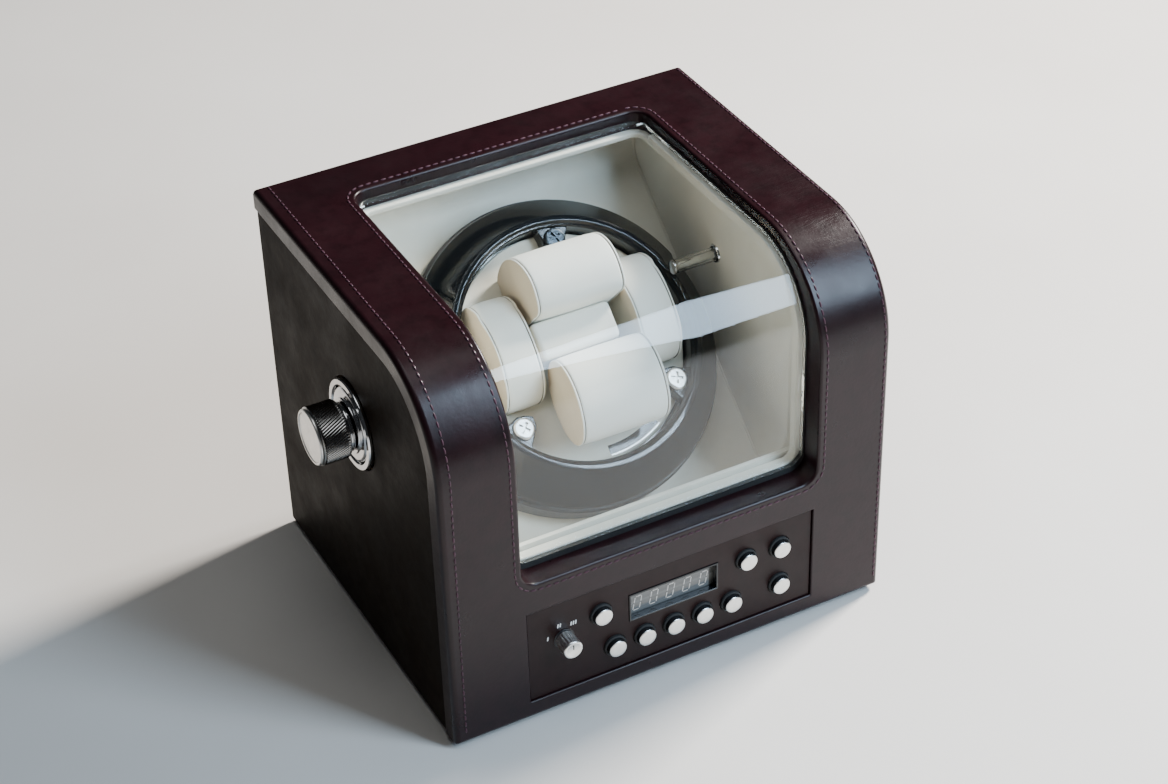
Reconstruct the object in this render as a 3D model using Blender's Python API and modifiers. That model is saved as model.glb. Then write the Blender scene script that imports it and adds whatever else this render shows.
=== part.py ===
"""Leather-covered watch winder for four watches, modelled as it comes apart on a bench.

Metres, +Z up. The control panel faces -Y, the large side knob faces -X, and the case stands on
its four feet with the middle of the bounding box's base at the world origin.

Case coordinates, used for every piece below: x = 0 in the middle of the case, y = 0 on the front
leather face, z = 0 on the surface that the feet stand on. The empty "winder" carries them all.
"""
import math

import bmesh
import bpy
from mathutils import Matrix, Vector

# ---------------------------------------------------------------- driving dimensions
GAP = 0.0003                    # clearance between neighbouring solids

CASE_HALF_WIDTH = 0.125
CASE_DEPTH = 0.210
CASE_TOP = 0.217
FOOT_HEIGHT = 0.003
BEND_RADIUS = 0.055             # outside radius where the top turns into the front
BEND_STEPS = 10
SKIN = 0.003                    # leather-covered panel at the back
LIP = 0.012                     # side edge of the cover that stands round each side panel
EDGE_ROUND = 0.0022

CORE_HALF_WIDTH = 0.1212        # the boards between the two side panels
SIDE_PANEL_THICK = 0.0027
WALL = 0.0112                   # wooden carcass board
BACK_BOARD_Y = 0.195
BASE_BOARD_TOP = 0.016

LID_CENTRE = (0.057, 0.167)     # axis of the bend that the lid and its seat share
LID_RADIUS = 0.045
LID_THICK = 0.004
LID_HALF_WIDTH = 0.0825
LID_REAR = 0.1785
LID_BOTTOM = 0.093
LID_CORNER = 0.008
SEAT_RADIUS = LID_RADIUS - LID_THICK - GAP
INNER_RADIUS = 0.035            # inside face of the top and front board
HINGE_AXIS = (0.175, 0.210)
HINGE_PIN_RADIUS = 0.0009

WINDOW_HALF_WIDTH = 0.084
WINDOW_REAR = 0.180
WINDOW_SILL = 0.089
WINDOW_CORNER = 0.009
SEAT_HALF_WIDTH = 0.0775
SEAT_REAR = 0.173
SEAT_SILL = 0.096
SEAT_CORNER = 0.005
SEAT_RELIEF = (0.166, 0.205)    # where the seat drops so that the lid's rear edge can turn

CHAMBER_HALF_WIDTH = 0.086
LINER_THICK = 0.0025
LINER_FRONT = 0.0253
DECK_DEPTH = 0.018              # deck below the widest circle of the rotor ring, along the axis
DECK_HALF = 0.086

ROTOR_CENTRE = (0.1101, 0.1318)
ROTOR_TILT = math.radians(42.0)     # the rotor's plane leans back this far from horizontal
ROUND_STEPS = 32

RING_OUTER = 0.082
RING_CREASE = 0.066
RING_INNER = 0.0615
RING_HEIGHT = 0.0205
LUG_ANGLES = (80.0, 217.0, 322.0)
LUG_DISTANCE = 0.0554
LUG_RADIUS = 0.0060
SCREW_RADIUS = 0.0015
SCREW_HEAD_RADIUS = 0.0056
DISC_BOTTOM = 0.0027
DISC_TOP = 0.0085

CUSHION_FLOOR = DISC_TOP + 0.0004
CUSHION_STEPS = 24
MID_CUSHION_X = (-0.025, 0.025)
TOP_OVAL = {"middle": (0.0280, 0.0250), "half": (0.0215, 0.0265), "trim": 0.0147}
BOTTOM_OVAL = {"middle": (-0.0300, 0.0345), "half": (0.0225, 0.0170), "lean": math.radians(13.0)}
LEFT_CUSHION_X = (-0.0505, -0.0285)
RIGHT_CUSHION_X = (0.0275, 0.0505)
SIDE_OVAL = {"middle": (0.0057, 0.0150), "half": (0.0292, 0.0225)}
CUSHION_FOOT = ((-0.016, -0.040), (0.016, -0.022))
HUB_LOW = (-0.0270, -0.0062)
HUB_HIGH = (0.0175, 0.0138, 0.0350)

GEAR_MODULE = 0.0012
GEAR_TEETH = 40
PINION_TEETH = 10
GEAR_TOP = -0.034
GEAR_THICK = 0.006
GEAR_CENTRES = 0.0305

KNOB_CENTRE = (0.102, 0.138)
KNOB_RADIUS = 0.0153
KNOB_REACH = 0.0263             # end face of the side knob above the carcass side

PLATE_HALF_WIDTH = 0.082
PLATE_LOW = 0.014
PLATE_HIGH = 0.0705
PLATE_FRONT = 0.0015
PLATE_THICK = 0.0015
BUTTON_RADIUS = 0.005
BUTTON_REACH = 0.0043
BUTTON_PLACES = (
    (-0.0411, 0.0537), (-0.0336, 0.0295), (-0.0165, 0.0295), (0.0004, 0.0295), (0.0172, 0.0295),
    (0.0343, 0.0295), (0.0430, 0.0539), (0.0630, 0.0539), (0.0630, 0.0297),
)
COLLAR_RADIUS = 0.0062
SELECTOR_PLACE = (-0.0620, 0.0465)
SELECTOR_RADIUS = 0.0048
SELECTOR_REACH = 0.0105
DISPLAY_CENTRE = (0.0008, 0.0498)
DISPLAY_HALF = (0.0248, 0.0076)
DISPLAY_BORDER = 0.0022

LAMP_PLACE = (0.1067, 0.1665)
LAMP_TIP = 0.060
LAMP_RADIUS = 0.0042

FOOT_RADIUS = 0.009
FOOT_X = 0.104
FOOT_Y = (0.030, 0.188)

INLET_PLACE = (0.085, 0.032)
SERVICE_HALF_WIDTH = 0.052
SERVICE_LOW = 0.028
SERVICE_HIGH = 0.112

# The bounding box runs from the side knob to the right lip and from the selector to the back.
ORIGIN_SHIFT = Vector((
    (CORE_HALF_WIDTH + KNOB_REACH - CASE_HALF_WIDTH) / 2.0,
    (SELECTOR_REACH - PLATE_FRONT - CASE_DEPTH) / 2.0,
    0.0,
))


# ---------------------------------------------------------------- scene, materials, helpers
def clear_scene():
    """Remove what the opened file holds, so that the script always starts from nothing."""
    for old in list(bpy.data.objects):
        bpy.data.objects.remove(old, do_unlink=True)


def new_collection(name):
    """Return a new collection linked to the scene."""
    collection = bpy.data.collections.new(name)
    bpy.context.scene.collection.children.link(collection)
    return collection


def new_material(name, colour, roughness, metallic=0.0, alpha=1.0):
    """Return a Principled material of one colour."""
    material = bpy.data.materials.new(name)
    material.use_nodes = True
    shader = material.node_tree.nodes["Principled BSDF"]
    shader.inputs["Base Color"].default_value = (*colour, 1.0)
    shader.inputs["Roughness"].default_value = roughness
    shader.inputs["Metallic"].default_value = metallic
    shader.inputs["Alpha"].default_value = alpha
    return material


clear_scene()
PARTS = new_collection("watch_winder")
CUTTERS = new_collection("cutters")

LEATHER = new_material("burgundy_leather", (0.045, 0.018, 0.022), 0.38)
SIDE_LEATHER = new_material("brown_leather", (0.040, 0.024, 0.022), 0.45)
WOOD = new_material("board", (0.35, 0.24, 0.14), 0.7)
SUEDE = new_material("cream_suede", (0.80, 0.74, 0.62), 0.95)
BLACK = new_material("black_gloss", (0.010, 0.011, 0.013), 0.12)
PLASTIC = new_material("black_plastic", (0.015, 0.015, 0.016), 0.45)
CHROME = new_material("chrome", (0.80, 0.81, 0.82), 0.08, 1.0)
SATIN = new_material("satin_steel", (0.72, 0.71, 0.69), 0.28, 1.0)
BRASS = new_material("brass", (0.72, 0.52, 0.22), 0.3, 1.0)
NYLON = new_material("nylon", (0.85, 0.83, 0.76), 0.5)
GLASS = new_material("clear_glass", (0.85, 0.95, 0.93), 0.02, 0.0, 0.25)
RUBBER = new_material("rubber", (0.02, 0.02, 0.02), 0.8)
DISPLAY = new_material("grey_display", (0.07, 0.075, 0.075), 0.2)
BOARD_GREEN = new_material("circuit_green", (0.02, 0.16, 0.07), 0.4)


def new_empty(name, location, rotation=(0.0, 0.0, 0.0), parent=None):
    """Return an empty that carries pieces."""
    empty = bpy.data.objects.new(name, None)
    empty.location = location
    empty.rotation_euler = rotation
    empty.parent = parent
    PARTS.objects.link(empty)
    return empty


WINDER = new_empty("winder", ORIGIN_SHIFT)
ROTOR = new_empty("rotor_axis", (0.0, *ROTOR_CENTRE), (ROTOR_TILT, 0.0, 0.0), WINDER)
KNOB = new_empty("side_knob_axis", (-CORE_HALF_WIDTH, *KNOB_CENTRE), (0.0, -math.pi / 2, 0.0), WINDER)
FACING_FRONT = (math.pi / 2, 0.0, 0.0)


def add_object(name, mesh, material, parent=WINDER, location=(0.0, 0.0, 0.0), rotation=(0.0, 0.0, 0.0)):
    """Link a mesh as a named piece."""
    piece = bpy.data.objects.new(name, mesh)
    piece.location = location
    piece.rotation_euler = rotation
    piece.parent = parent
    mesh.materials.append(material)
    PARTS.objects.link(piece)
    return piece


def as_cutter(piece):
    """Move a piece to the cutters, which the object doesn't include."""
    PARTS.objects.unlink(piece)
    CUTTERS.objects.link(piece)
    piece.hide_render = True
    piece.display_type = 'WIRE'
    return piece


def boolean(piece, other, operation='DIFFERENCE'):
    """Cut or join a piece with another solid."""
    modifier = piece.modifiers.new(operation.lower(), 'BOOLEAN')
    modifier.operation = operation
    modifier.solver = 'EXACT'
    modifier.object = as_cutter(other)


def mesh_from(build, name, smooth_angle=None):
    """Run a bmesh builder and return its mesh, with the faces pointing out."""
    mesh = bpy.data.meshes.new(name)
    sketch = bmesh.new()
    build(sketch)
    bmesh.ops.recalc_face_normals(sketch, faces=sketch.faces)
    sketch.to_mesh(mesh)
    sketch.free()
    if smooth_angle is not None:
        mesh.shade_smooth()
        mesh.set_sharp_from_angle(angle=math.radians(smooth_angle))
    return mesh


def box(name, low, high, material, bevel=0.0, **placing):
    """A box between two corners, with rounded edges where a bevel is given."""
    low = Vector(low)
    high = Vector(high)

    def build(sketch):
        cube = bmesh.ops.create_cube(sketch, size=1.0)
        size = high - low
        bmesh.ops.transform(sketch, matrix=Matrix.Diagonal((*size, 1.0)), verts=cube["verts"])
        bmesh.ops.translate(sketch, vec=(low + high) / 2.0, verts=cube["verts"])

    piece = add_object(name, mesh_from(build, name), material, **placing)
    if bevel:
        add_bevel(piece, bevel)
    return piece


def add_bevel(piece, width, segments=2):
    """Round the sharp edges of a piece."""
    modifier = piece.modifiers.new("rounded_edges", 'BEVEL')
    modifier.width = width
    modifier.segments = segments
    modifier.limit_method = 'ANGLE'
    modifier.angle_limit = math.radians(40.0)


def arc(centre, radius, start, end, steps):
    """Points of a circular arc, angles in degrees, both ends included."""
    points = []
    for step in range(steps + 1):
        angle = math.radians(start + (end - start) * step / steps)
        points.append((centre[0] + radius * math.cos(angle), centre[1] + radius * math.sin(angle)))
    return points


def prism(name, outline, x_low, x_high, material, rounded=None, radius=0.0, **placing):
    """A (y, z) outline drawn out along X. The side edges that "rounded" picks get a radius."""

    def build(sketch):
        low = [sketch.verts.new((x_low, y, z)) for y, z in outline]
        face = sketch.faces.new(low)
        drawn = bmesh.ops.extrude_face_region(sketch, geom=[face])
        moved = [item for item in drawn["geom"] if isinstance(item, bmesh.types.BMVert)]
        bmesh.ops.translate(sketch, vec=(x_high - x_low, 0.0, 0.0), verts=moved)
        if rounded:
            edges = [
                edge for edge in sketch.edges
                if abs(edge.verts[0].co.x - edge.verts[1].co.x) < 1e-6
                and all(rounded(vert.co.y, vert.co.z) for vert in edge.verts)
            ]
            bmesh.ops.bevel(
                sketch, geom=edges, offset=radius, segments=5, profile=0.5, affect='EDGES',
                clamp_overlap=True)

    return add_object(name, mesh_from(build, name, 40.0), material, **placing)


def turned(name, profile, material, steps=ROUND_STEPS, **placing):
    """A turned piece: a closed (radius, height) profile, clockwise, swept round the local Z axis."""
    mesh = bpy.data.meshes.new(name)
    closed = all(radius > 0.0 for radius, height in profile)
    edges = [(index, index + 1) for index in range(len(profile) - 1)]
    if closed:
        edges.append((len(profile) - 1, 0))
    mesh.from_pydata([(radius, 0.0, height) for radius, height in profile], edges, [])
    piece = add_object(name, mesh, material, **placing)
    screw = piece.modifiers.new("turned", 'SCREW')
    screw.steps = steps
    screw.render_steps = steps
    screw.use_merge_vertices = True
    screw.merge_threshold = 0.00002
    screw.use_smooth_shade = True
    return piece


def cylinder(name, radius, low, high, material, steps=ROUND_STEPS, **placing):
    """A plain turned cylinder between two heights."""
    profile = [(0.0, high), (radius, high), (radius, low), (0.0, low)]
    return turned(name, profile, material, steps, **placing)


def cylinders(name, places, radius, low, high, steps=16, **placing):
    """One mesh of several cylinders along the local Z axis, used to cut or join."""

    def build(sketch):
        for x, y in places:
            matrix = Matrix.Translation((x, y, (low + high) / 2.0))
            bmesh.ops.create_cone(
                sketch, cap_ends=True, segments=steps, radius1=radius, radius2=radius,
                depth=high - low, matrix=matrix)

    return add_object(name, mesh_from(build, name), PLASTIC, **placing)


# ---------------------------------------------------------------- outlines of the case
def shell_outline(inset, rear, low):
    """The side view of the case, moved in by an inset: top, bend, front, and a straight back."""
    centre = (BEND_RADIUS, CASE_TOP - BEND_RADIUS)
    points = [(rear, CASE_TOP - inset)]
    points += arc(centre, BEND_RADIUS - inset, 90.0, 180.0, BEND_STEPS)
    points += [(inset, low), (rear, low)]
    return points


def lid_arc(radius, start, end):
    """An arc about the axis that the lid's bend and its seat share."""
    return arc(LID_CENTRE, radius, start, end, BEND_STEPS)


def cover_outline():
    """The section of the board that makes the top and the front."""
    points = shell_outline(0.0, CASE_DEPTH, FOOT_HEIGHT)[:-1]
    inner = lid_arc(INNER_RADIUS, 180.0, 90.0)
    return points + [(inner[0][0], FOOT_HEIGHT)] + inner + [(CASE_DEPTH, inner[-1][1])]


def inside_cover(inset, rear, low):
    """What lies inside the top and front board, moved in by an inset."""
    points = [(rear, LID_CENTRE[1] + INNER_RADIUS - inset)]
    points += lid_arc(INNER_RADIUS - inset, 90.0, 180.0)
    points += [(points[-1][0], low), (rear, low)]
    return points


# ---------------------------------------------------------------- case
def make_cover():
    """The leather-covered board that runs over the top and down the front."""
    cover = prism("top_front_cover", cover_outline(), -CASE_HALF_WIDTH, CASE_HALF_WIDTH, LEATHER)
    add_bevel(cover, EDGE_ROUND)
    lip_cut = shell_outline(LIP, CASE_DEPTH + 0.02, -0.02)
    for side in (-1, 1):
        edges = sorted((side * CORE_HALF_WIDTH, side * (CASE_HALF_WIDTH + 0.02)))
        boolean(cover, prism(f"cut_lip_{side}", lip_cut, *edges, PLASTIC))

    outside = 0.03
    relief_y, relief_z = SEAT_RELIEF
    lid_space = [(WINDOW_REAR, CASE_TOP + outside), (WINDOW_REAR, relief_z), (relief_y, relief_z)]
    lid_space += [(relief_y, LID_CENTRE[1] + SEAT_RADIUS)] + lid_arc(SEAT_RADIUS, 90.0, 180.0)
    lid_space += [(lid_space[-1][0], WINDOW_SILL), (-outside, WINDOW_SILL), (-outside, CASE_TOP + outside)]
    boolean(cover, prism(
        "cut_window", lid_space, -WINDOW_HALF_WIDTH, WINDOW_HALF_WIDTH, PLASTIC,
        rounded=lambda y, z: y > WINDOW_REAR - 1e-5 or z < WINDOW_SILL + 1e-5, radius=WINDOW_CORNER))

    inner_y = 0.060
    inner_z = 0.150
    seat_space = [
        (SEAT_REAR, CASE_TOP + outside), (SEAT_REAR, inner_z), (inner_y, inner_z),
        (inner_y, SEAT_SILL), (-outside, SEAT_SILL), (-outside, CASE_TOP + outside)]
    boolean(cover, prism(
        "cut_seat", seat_space, -SEAT_HALF_WIDTH, SEAT_HALF_WIDTH, PLASTIC,
        rounded=lambda y, z: y > SEAT_REAR - 1e-5 or z < SEAT_SILL + 1e-5, radius=SEAT_CORNER))

    recess = GAP
    rim = 0.004
    floor = PLATE_FRONT + PLATE_THICK + GAP
    boolean(cover, box(
        "cut_panel", (-PLATE_HALF_WIDTH - recess, -0.01, PLATE_LOW - recess),
        (PLATE_HALF_WIDTH + recess, floor, PLATE_HIGH + recess), PLASTIC))
    boolean(cover, box(
        "cut_electronics", (-PLATE_HALF_WIDTH + rim, -0.01, PLATE_LOW + rim / 2),
        (PLATE_HALF_WIDTH - rim, 0.04, PLATE_HIGH - rim), PLASTIC))
    pin_hole = WINDOW_HALF_WIDTH + 0.0065
    boolean(cover, cylinder(
        "cut_pins", HINGE_PIN_RADIUS + GAP, -pin_hole, pin_hole, PLASTIC, 12,
        location=(0.0, *HINGE_AXIS), rotation=(0.0, math.pi / 2, 0.0)))


def make_carcass():
    """The glued wooden box: base, two sides and back."""
    rear = CASE_DEPTH - SKIN - GAP
    base = FOOT_HEIGHT * 2 + GAP
    carcass = prism("carcass", inside_cover(GAP, rear, base), -CORE_HALF_WIDTH, CORE_HALF_WIDTH, WOOD)
    inside = CORE_HALF_WIDTH - WALL
    boolean(carcass, box(
        "cut_inside", (-inside, -0.02, BASE_BOARD_TOP), (inside, BACK_BOARD_Y, 0.3), PLASTIC))
    ledge = 0.007
    boolean(carcass, box(
        "cut_service", (-SERVICE_HALF_WIDTH + ledge, 0.18, SERVICE_LOW + ledge),
        (SERVICE_HALF_WIDTH - ledge, 0.25, SERVICE_HIGH - ledge), PLASTIC))
    boolean(carcass, cylinder(
        "cut_knob_bush", 0.005, -0.02, 0.02, PLASTIC, 20, parent=KNOB))
    boolean(carcass, cylinder(
        "cut_inlet", 0.0053, -0.02, 0.04, PLASTIC, 16,
        location=(INLET_PLACE[0], BACK_BOARD_Y, INLET_PLACE[1]), rotation=(-math.pi / 2, 0.0, 0.0)))


def make_side_panels():
    """The two leather side panels, set behind the lip of the cover."""
    outline = shell_outline(LIP + GAP, CASE_DEPTH - GAP, FOOT_HEIGHT)
    inner = CORE_HALF_WIDTH + GAP
    outer = inner + SIDE_PANEL_THICK
    left = prism("left_side_panel", outline, -outer, -inner, SIDE_LEATHER)
    boolean(left, cylinder("cut_bezel_recess", 0.0246, -0.01, 0.02, PLASTIC, 32, parent=KNOB))
    prism("right_side_panel", outline, inner, outer, SIDE_LEATHER)


def make_back():
    """The leather back panel, the service cover and the power inlet."""
    top = LID_CENTRE[1] + INNER_RADIUS - GAP
    front = CASE_DEPTH - SKIN
    rear = CASE_DEPTH - GAP
    back = box(
        "back_panel", (-CORE_HALF_WIDTH, front, FOOT_HEIGHT), (CORE_HALF_WIDTH, rear, top), SIDE_LEATHER)
    boolean(back, box(
        "cut_back_service", (-SERVICE_HALF_WIDTH, 0.2, SERVICE_LOW),
        (SERVICE_HALF_WIDTH, 0.22, SERVICE_HIGH), PLASTIC))
    inlet = (INLET_PLACE[0], BACK_BOARD_Y, INLET_PLACE[1])
    facing_back = (-math.pi / 2, 0.0, 0.0)
    boolean(back, cylinder(
        "cut_back_inlet", 0.0053, 0.0, 0.04, PLASTIC, 16, location=inlet, rotation=facing_back))
    box(
        "service_cover", (-SERVICE_HALF_WIDTH + GAP, front, SERVICE_LOW + GAP),
        (SERVICE_HALF_WIDTH - GAP, rear - 0.0004, SERVICE_HIGH - GAP), PLASTIC, 0.0004)
    mouth = rear - BACK_BOARD_Y
    turned("power_inlet", [
        (0.0, mouth - 0.001), (0.0009, mouth - 0.001), (0.0009, 0.004), (0.0031, 0.004),
        (0.0031, mouth), (0.005, mouth), (0.005, 0.0), (0.007, 0.0), (0.007, -0.006),
        (0.0, -0.006),
    ], PLASTIC, 16, location=(inlet[0], inlet[1] - GAP, inlet[2]), rotation=facing_back)


def make_base():
    """The base plate and its four feet."""
    front = LID_CENTRE[0] - INNER_RADIUS + GAP
    box(
        "base_plate", (-CORE_HALF_WIDTH + 0.002, front, FOOT_HEIGHT),
        (CORE_HALF_WIDTH - 0.002, CASE_DEPTH - SKIN - GAP, FOOT_HEIGHT * 2), PLASTIC)
    for side, x in (("left", -FOOT_X), ("right", FOOT_X)):
        for end, y in zip(("front", "back"), FOOT_Y):
            turned(f"foot_{end}_{side}", [
                (0.0, FOOT_HEIGHT - GAP), (FOOT_RADIUS, FOOT_HEIGHT - GAP), (FOOT_RADIUS, 0.0008),
                (FOOT_RADIUS - 0.0008, 0.0), (0.0, 0.0),
            ], RUBBER, 20, location=(x, y, 0.0))


# ---------------------------------------------------------------- lid
def make_lid():
    """The bent clear lid and the two pins that it turns on. Its origin is on the hinge axis."""
    outer = [(LID_REAR, LID_CENTRE[1] + LID_RADIUS)] + lid_arc(LID_RADIUS, 90.0, 180.0)
    outer.append((outer[-1][0], LID_BOTTOM))
    inner_radius = LID_RADIUS - LID_THICK
    inner = lid_arc(inner_radius, 180.0, 90.0)
    inner = [(inner[0][0], LID_BOTTOM)] + inner + [(LID_REAR, LID_CENTRE[1] + inner_radius)]
    outline = [(y - HINGE_AXIS[0], z - HINGE_AXIS[1]) for y, z in outer + inner]
    rear = LID_REAR - HINGE_AXIS[0]
    bottom = LID_BOTTOM - HINGE_AXIS[1]
    lid = prism(
        "glass_lid", outline, -LID_HALF_WIDTH, LID_HALF_WIDTH, GLASS,
        rounded=lambda y, z: y > rear - 1e-5 or z < bottom + 1e-5, radius=LID_CORNER,
        location=(0.0, *HINGE_AXIS))
    pin_depth = 0.004
    pin_start = LID_HALF_WIDTH - pin_depth + GAP
    pin_end = WINDOW_HALF_WIDTH + 0.006
    for side, name in ((-1, "left"), (1, "right")):
        turn = (0.0, side * math.pi / 2, 0.0)
        boolean(lid, cylinder(
            f"cut_lid_{name}", HINGE_PIN_RADIUS + GAP, LID_HALF_WIDTH - pin_depth, LID_HALF_WIDTH + 0.01,
            PLASTIC, 12, location=(0.0, *HINGE_AXIS), rotation=turn))
        cylinder(
            f"hinge_pin_{name}", HINGE_PIN_RADIUS, pin_start, pin_end, SATIN, 12,
            location=(0.0, *HINGE_AXIS), rotation=turn)


# ---------------------------------------------------------------- chamber lining and lamp
def along_deck(distance, height):
    """A point in the rotor's own section: distance up its plane, height along its axis."""
    cosine = math.cos(ROTOR_TILT)
    sine = math.sin(ROTOR_TILT)
    return (
        ROTOR_CENTRE[0] + distance * cosine - height * sine,
        ROTOR_CENTRE[1] + distance * sine + height * cosine,
    )


def liner_path(offset):
    """The lining from the top of the back, down the deck, over the floor and up the front."""
    tilt = math.degrees(ROTOR_TILT)
    steps = 6
    rear_radius = 0.016
    floor_radius = 0.025
    front_radius = 0.008
    upper = along_deck(DECK_HALF, rear_radius - DECK_DEPTH)
    lower = along_deck(-DECK_HALF, floor_radius - DECK_DEPTH)
    front = (LINER_FRONT + front_radius, lower[1] - floor_radius + front_radius)
    rear_y = upper[0] + rear_radius + offset
    points = [(rear_y, LID_CENTRE[1] + INNER_RADIUS - 0.001)]
    points += arc(upper, rear_radius + offset, 0.0, tilt - 90.0, steps)
    points += arc(lower, floor_radius + offset, tilt - 90.0, -90.0, steps)
    points += arc(front, front_radius + offset, -90.0, -180.0, steps)
    points.append((points[-1][0], SEAT_SILL - 0.0005))
    return points


def make_lining():
    """The suede-covered lining: one bent sheet and two side walls."""
    outline = liner_path(0.0) + liner_path(LINER_THICK)[::-1]
    lining = prism("interior_liner", outline, -CHAMBER_HALF_WIDTH, CHAMBER_HALF_WIDTH, SUEDE)
    boolean(lining, cylinder("cut_deck", 0.0165, -0.05, 0.0, PLASTIC, 32, parent=ROTOR))
    side_outline = inside_cover(0.0008, BACK_BOARD_Y - GAP, 0.045)
    inner = CHAMBER_HALF_WIDTH + GAP
    outer = inner + LINER_THICK
    prism("liner_left", side_outline, -outer, -inner, SUEDE)
    right = prism("liner_right", side_outline, inner, outer, SUEDE)
    boolean(right, cylinder(
        "cut_lamp", LAMP_RADIUS + GAP, 0.05, 0.15, PLASTIC, 20,
        location=(0.0, *LAMP_PLACE), rotation=(0.0, math.pi / 2, 0.0)))


def make_lamp():
    """The clear lamp tube on the right wall and the bright core that holds it."""
    along_x = {"location": (0.0, *LAMP_PLACE), "rotation": (0.0, math.pi / 2, 0.0)}
    wall = CHAMBER_HALF_WIDTH + GAP + LINER_THICK
    bore = LAMP_RADIUS - 0.001
    cap = LAMP_TIP + 0.0016
    turned("lamp_tube", [
        (LAMP_RADIUS, wall), (LAMP_RADIUS, cap + GAP), (bore, cap + GAP), (bore, wall),
    ], GLASS, 20, **along_x)
    turned("lamp_core", [
        (0.0, wall + 0.006), (0.0075, wall + 0.006), (0.0075, wall + GAP), (0.0016, wall + GAP),
        (0.0016, cap), (LAMP_RADIUS, cap), (LAMP_RADIUS, LAMP_TIP + 0.0005),
        (LAMP_RADIUS - 0.0005, LAMP_TIP), (0.0, LAMP_TIP),
    ], CHROME, 20, **along_x)


# ---------------------------------------------------------------- rotor
def lug_places():
    """Centres of the three screw lugs in the rotor's plane."""
    return [
        (LUG_DISTANCE * math.cos(math.radians(angle)), LUG_DISTANCE * math.sin(math.radians(angle)))
        for angle in LUG_ANGLES
    ]


def make_rotor_base():
    """The fixed drum on the deck, and the bush in its boss."""
    drum = RING_OUTER + 0.002
    low = GAP - DECK_DEPTH
    turned("rotor_base", [
        (drum, -0.003), (drum, low), (0.016, low), (0.016, -0.031), (0.009, -0.031), (0.009, -0.005),
        (0.016, -0.005), (0.016, low + 0.003), (drum - 0.004, low + 0.003), (drum - 0.004, -0.003),
    ], BLACK, parent=ROTOR)
    turned("rotor_bearing", [
        (0.012, -0.0028), (0.012, -0.0047), (0.0087, -0.0047), (0.0087, -0.031), (0.0053, -0.031),
        (0.0053, -0.0028),
    ], BRASS, 24, parent=ROTOR)


def make_rotor():
    """The turning assembly: shaft, plate, ring with its lugs, disc, screws and hub block."""
    turned("rotor_shaft", [
        (0.0, -GAP), (0.020, -GAP), (0.020, -0.0022), (0.005, -0.0022), (0.005, -0.046), (0.0, -0.046),
    ], SATIN, 24, parent=ROTOR)
    plate = cylinder("rotor_plate", RING_OUTER - 0.006, 0.0, DISC_BOTTOM - GAP, SATIN, parent=ROTOR)
    skirt = RING_OUTER - 0.005
    ring = turned("rotor_ring", [
        (RING_CREASE, RING_HEIGHT), (RING_OUTER, 0.0005), (RING_OUTER, -0.0024), (skirt, -0.0024),
        (skirt, DISC_BOTTOM), (RING_INNER, DISC_BOTTOM), (RING_INNER, RING_HEIGHT - 0.002),
        (RING_INNER + 0.0015, RING_HEIGHT),
    ], BLACK, 40, parent=ROTOR)
    disc = cylinder("rotor_disc", RING_INNER - GAP, DISC_BOTTOM, DISC_TOP, SUEDE, parent=ROTOR)

    lugs = lug_places()
    lug_low = DISC_TOP + GAP
    lug_top = RING_HEIGHT - 0.003
    hole = SCREW_RADIUS + GAP
    webs = [
        (x * (LUG_DISTANCE + 0.005) / LUG_DISTANCE, y * (LUG_DISTANCE + 0.005) / LUG_DISTANCE)
        for x, y in lugs
    ]
    boolean(ring, cylinders("join_lugs", lugs, LUG_RADIUS, lug_low, lug_top, parent=ROTOR), 'UNION')
    boolean(ring, cylinders("join_webs", webs, LUG_RADIUS, lug_low, lug_top - 0.0004, parent=ROTOR), 'UNION')
    boolean(ring, cylinders("cut_lugs", lugs, hole, -0.01, 0.03, 10, parent=ROTOR))
    boolean(disc, cylinders("cut_disc", lugs, hole, -0.01, 0.03, 10, parent=ROTOR))
    boolean(plate, cylinders("cut_plate", lugs, hole, -0.01, 0.03, 10, parent=ROTOR))

    head = lug_top + GAP
    for number, (x, y) in enumerate(lugs, start=1):
        turned(f"ring_screw_{number}", [
            (0.0, head + 0.0022), (0.0035, head + 0.0020), (SCREW_HEAD_RADIUS, head + 0.0008),
            (SCREW_HEAD_RADIUS, head), (SCREW_RADIUS, head), (SCREW_RADIUS, 0.0008), (0.0, 0.0008),
        ], SATIN, 16, parent=ROTOR, location=(x, y, 0.0))

    box("hub_block", (*HUB_LOW, CUSHION_FLOOR), HUB_HIGH, SUEDE, 0.003, parent=ROTOR)


def cushion(name, x_range, middle, half, lean=0.0, trim=-1.0):
    """A plain oval watch cushion lying along X on the rotor.

    "middle" is the oval's centre: across the rotor, then above its plane. The disc cuts the oval
    flat, and so does "trim", the least distance across. "lean" turns the oval's long axis.
    """
    origin = ((x_range[0] + x_range[1]) / 2.0, middle[0], CUSHION_FLOOR)
    outline = []
    for step in range(CUSHION_STEPS):
        angle = 2.0 * math.pi * (step + 0.5) / CUSHION_STEPS
        across = half[0] * math.cos(angle)
        above = half[1] * math.sin(angle)
        y = middle[0] + across * math.cos(lean) - above * math.sin(lean)
        z = middle[1] + across * math.sin(lean) + above * math.cos(lean)
        point = (max(y, trim) - origin[1], max(z - origin[2], 0.0))
        if point not in outline:
            outline.append(point)
    low, high = (x - origin[0] for x in x_range)
    piece = prism(name, outline, low, high, SUEDE, parent=ROTOR, location=origin)
    add_bevel(piece, 0.0015, 1)
    return piece


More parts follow.
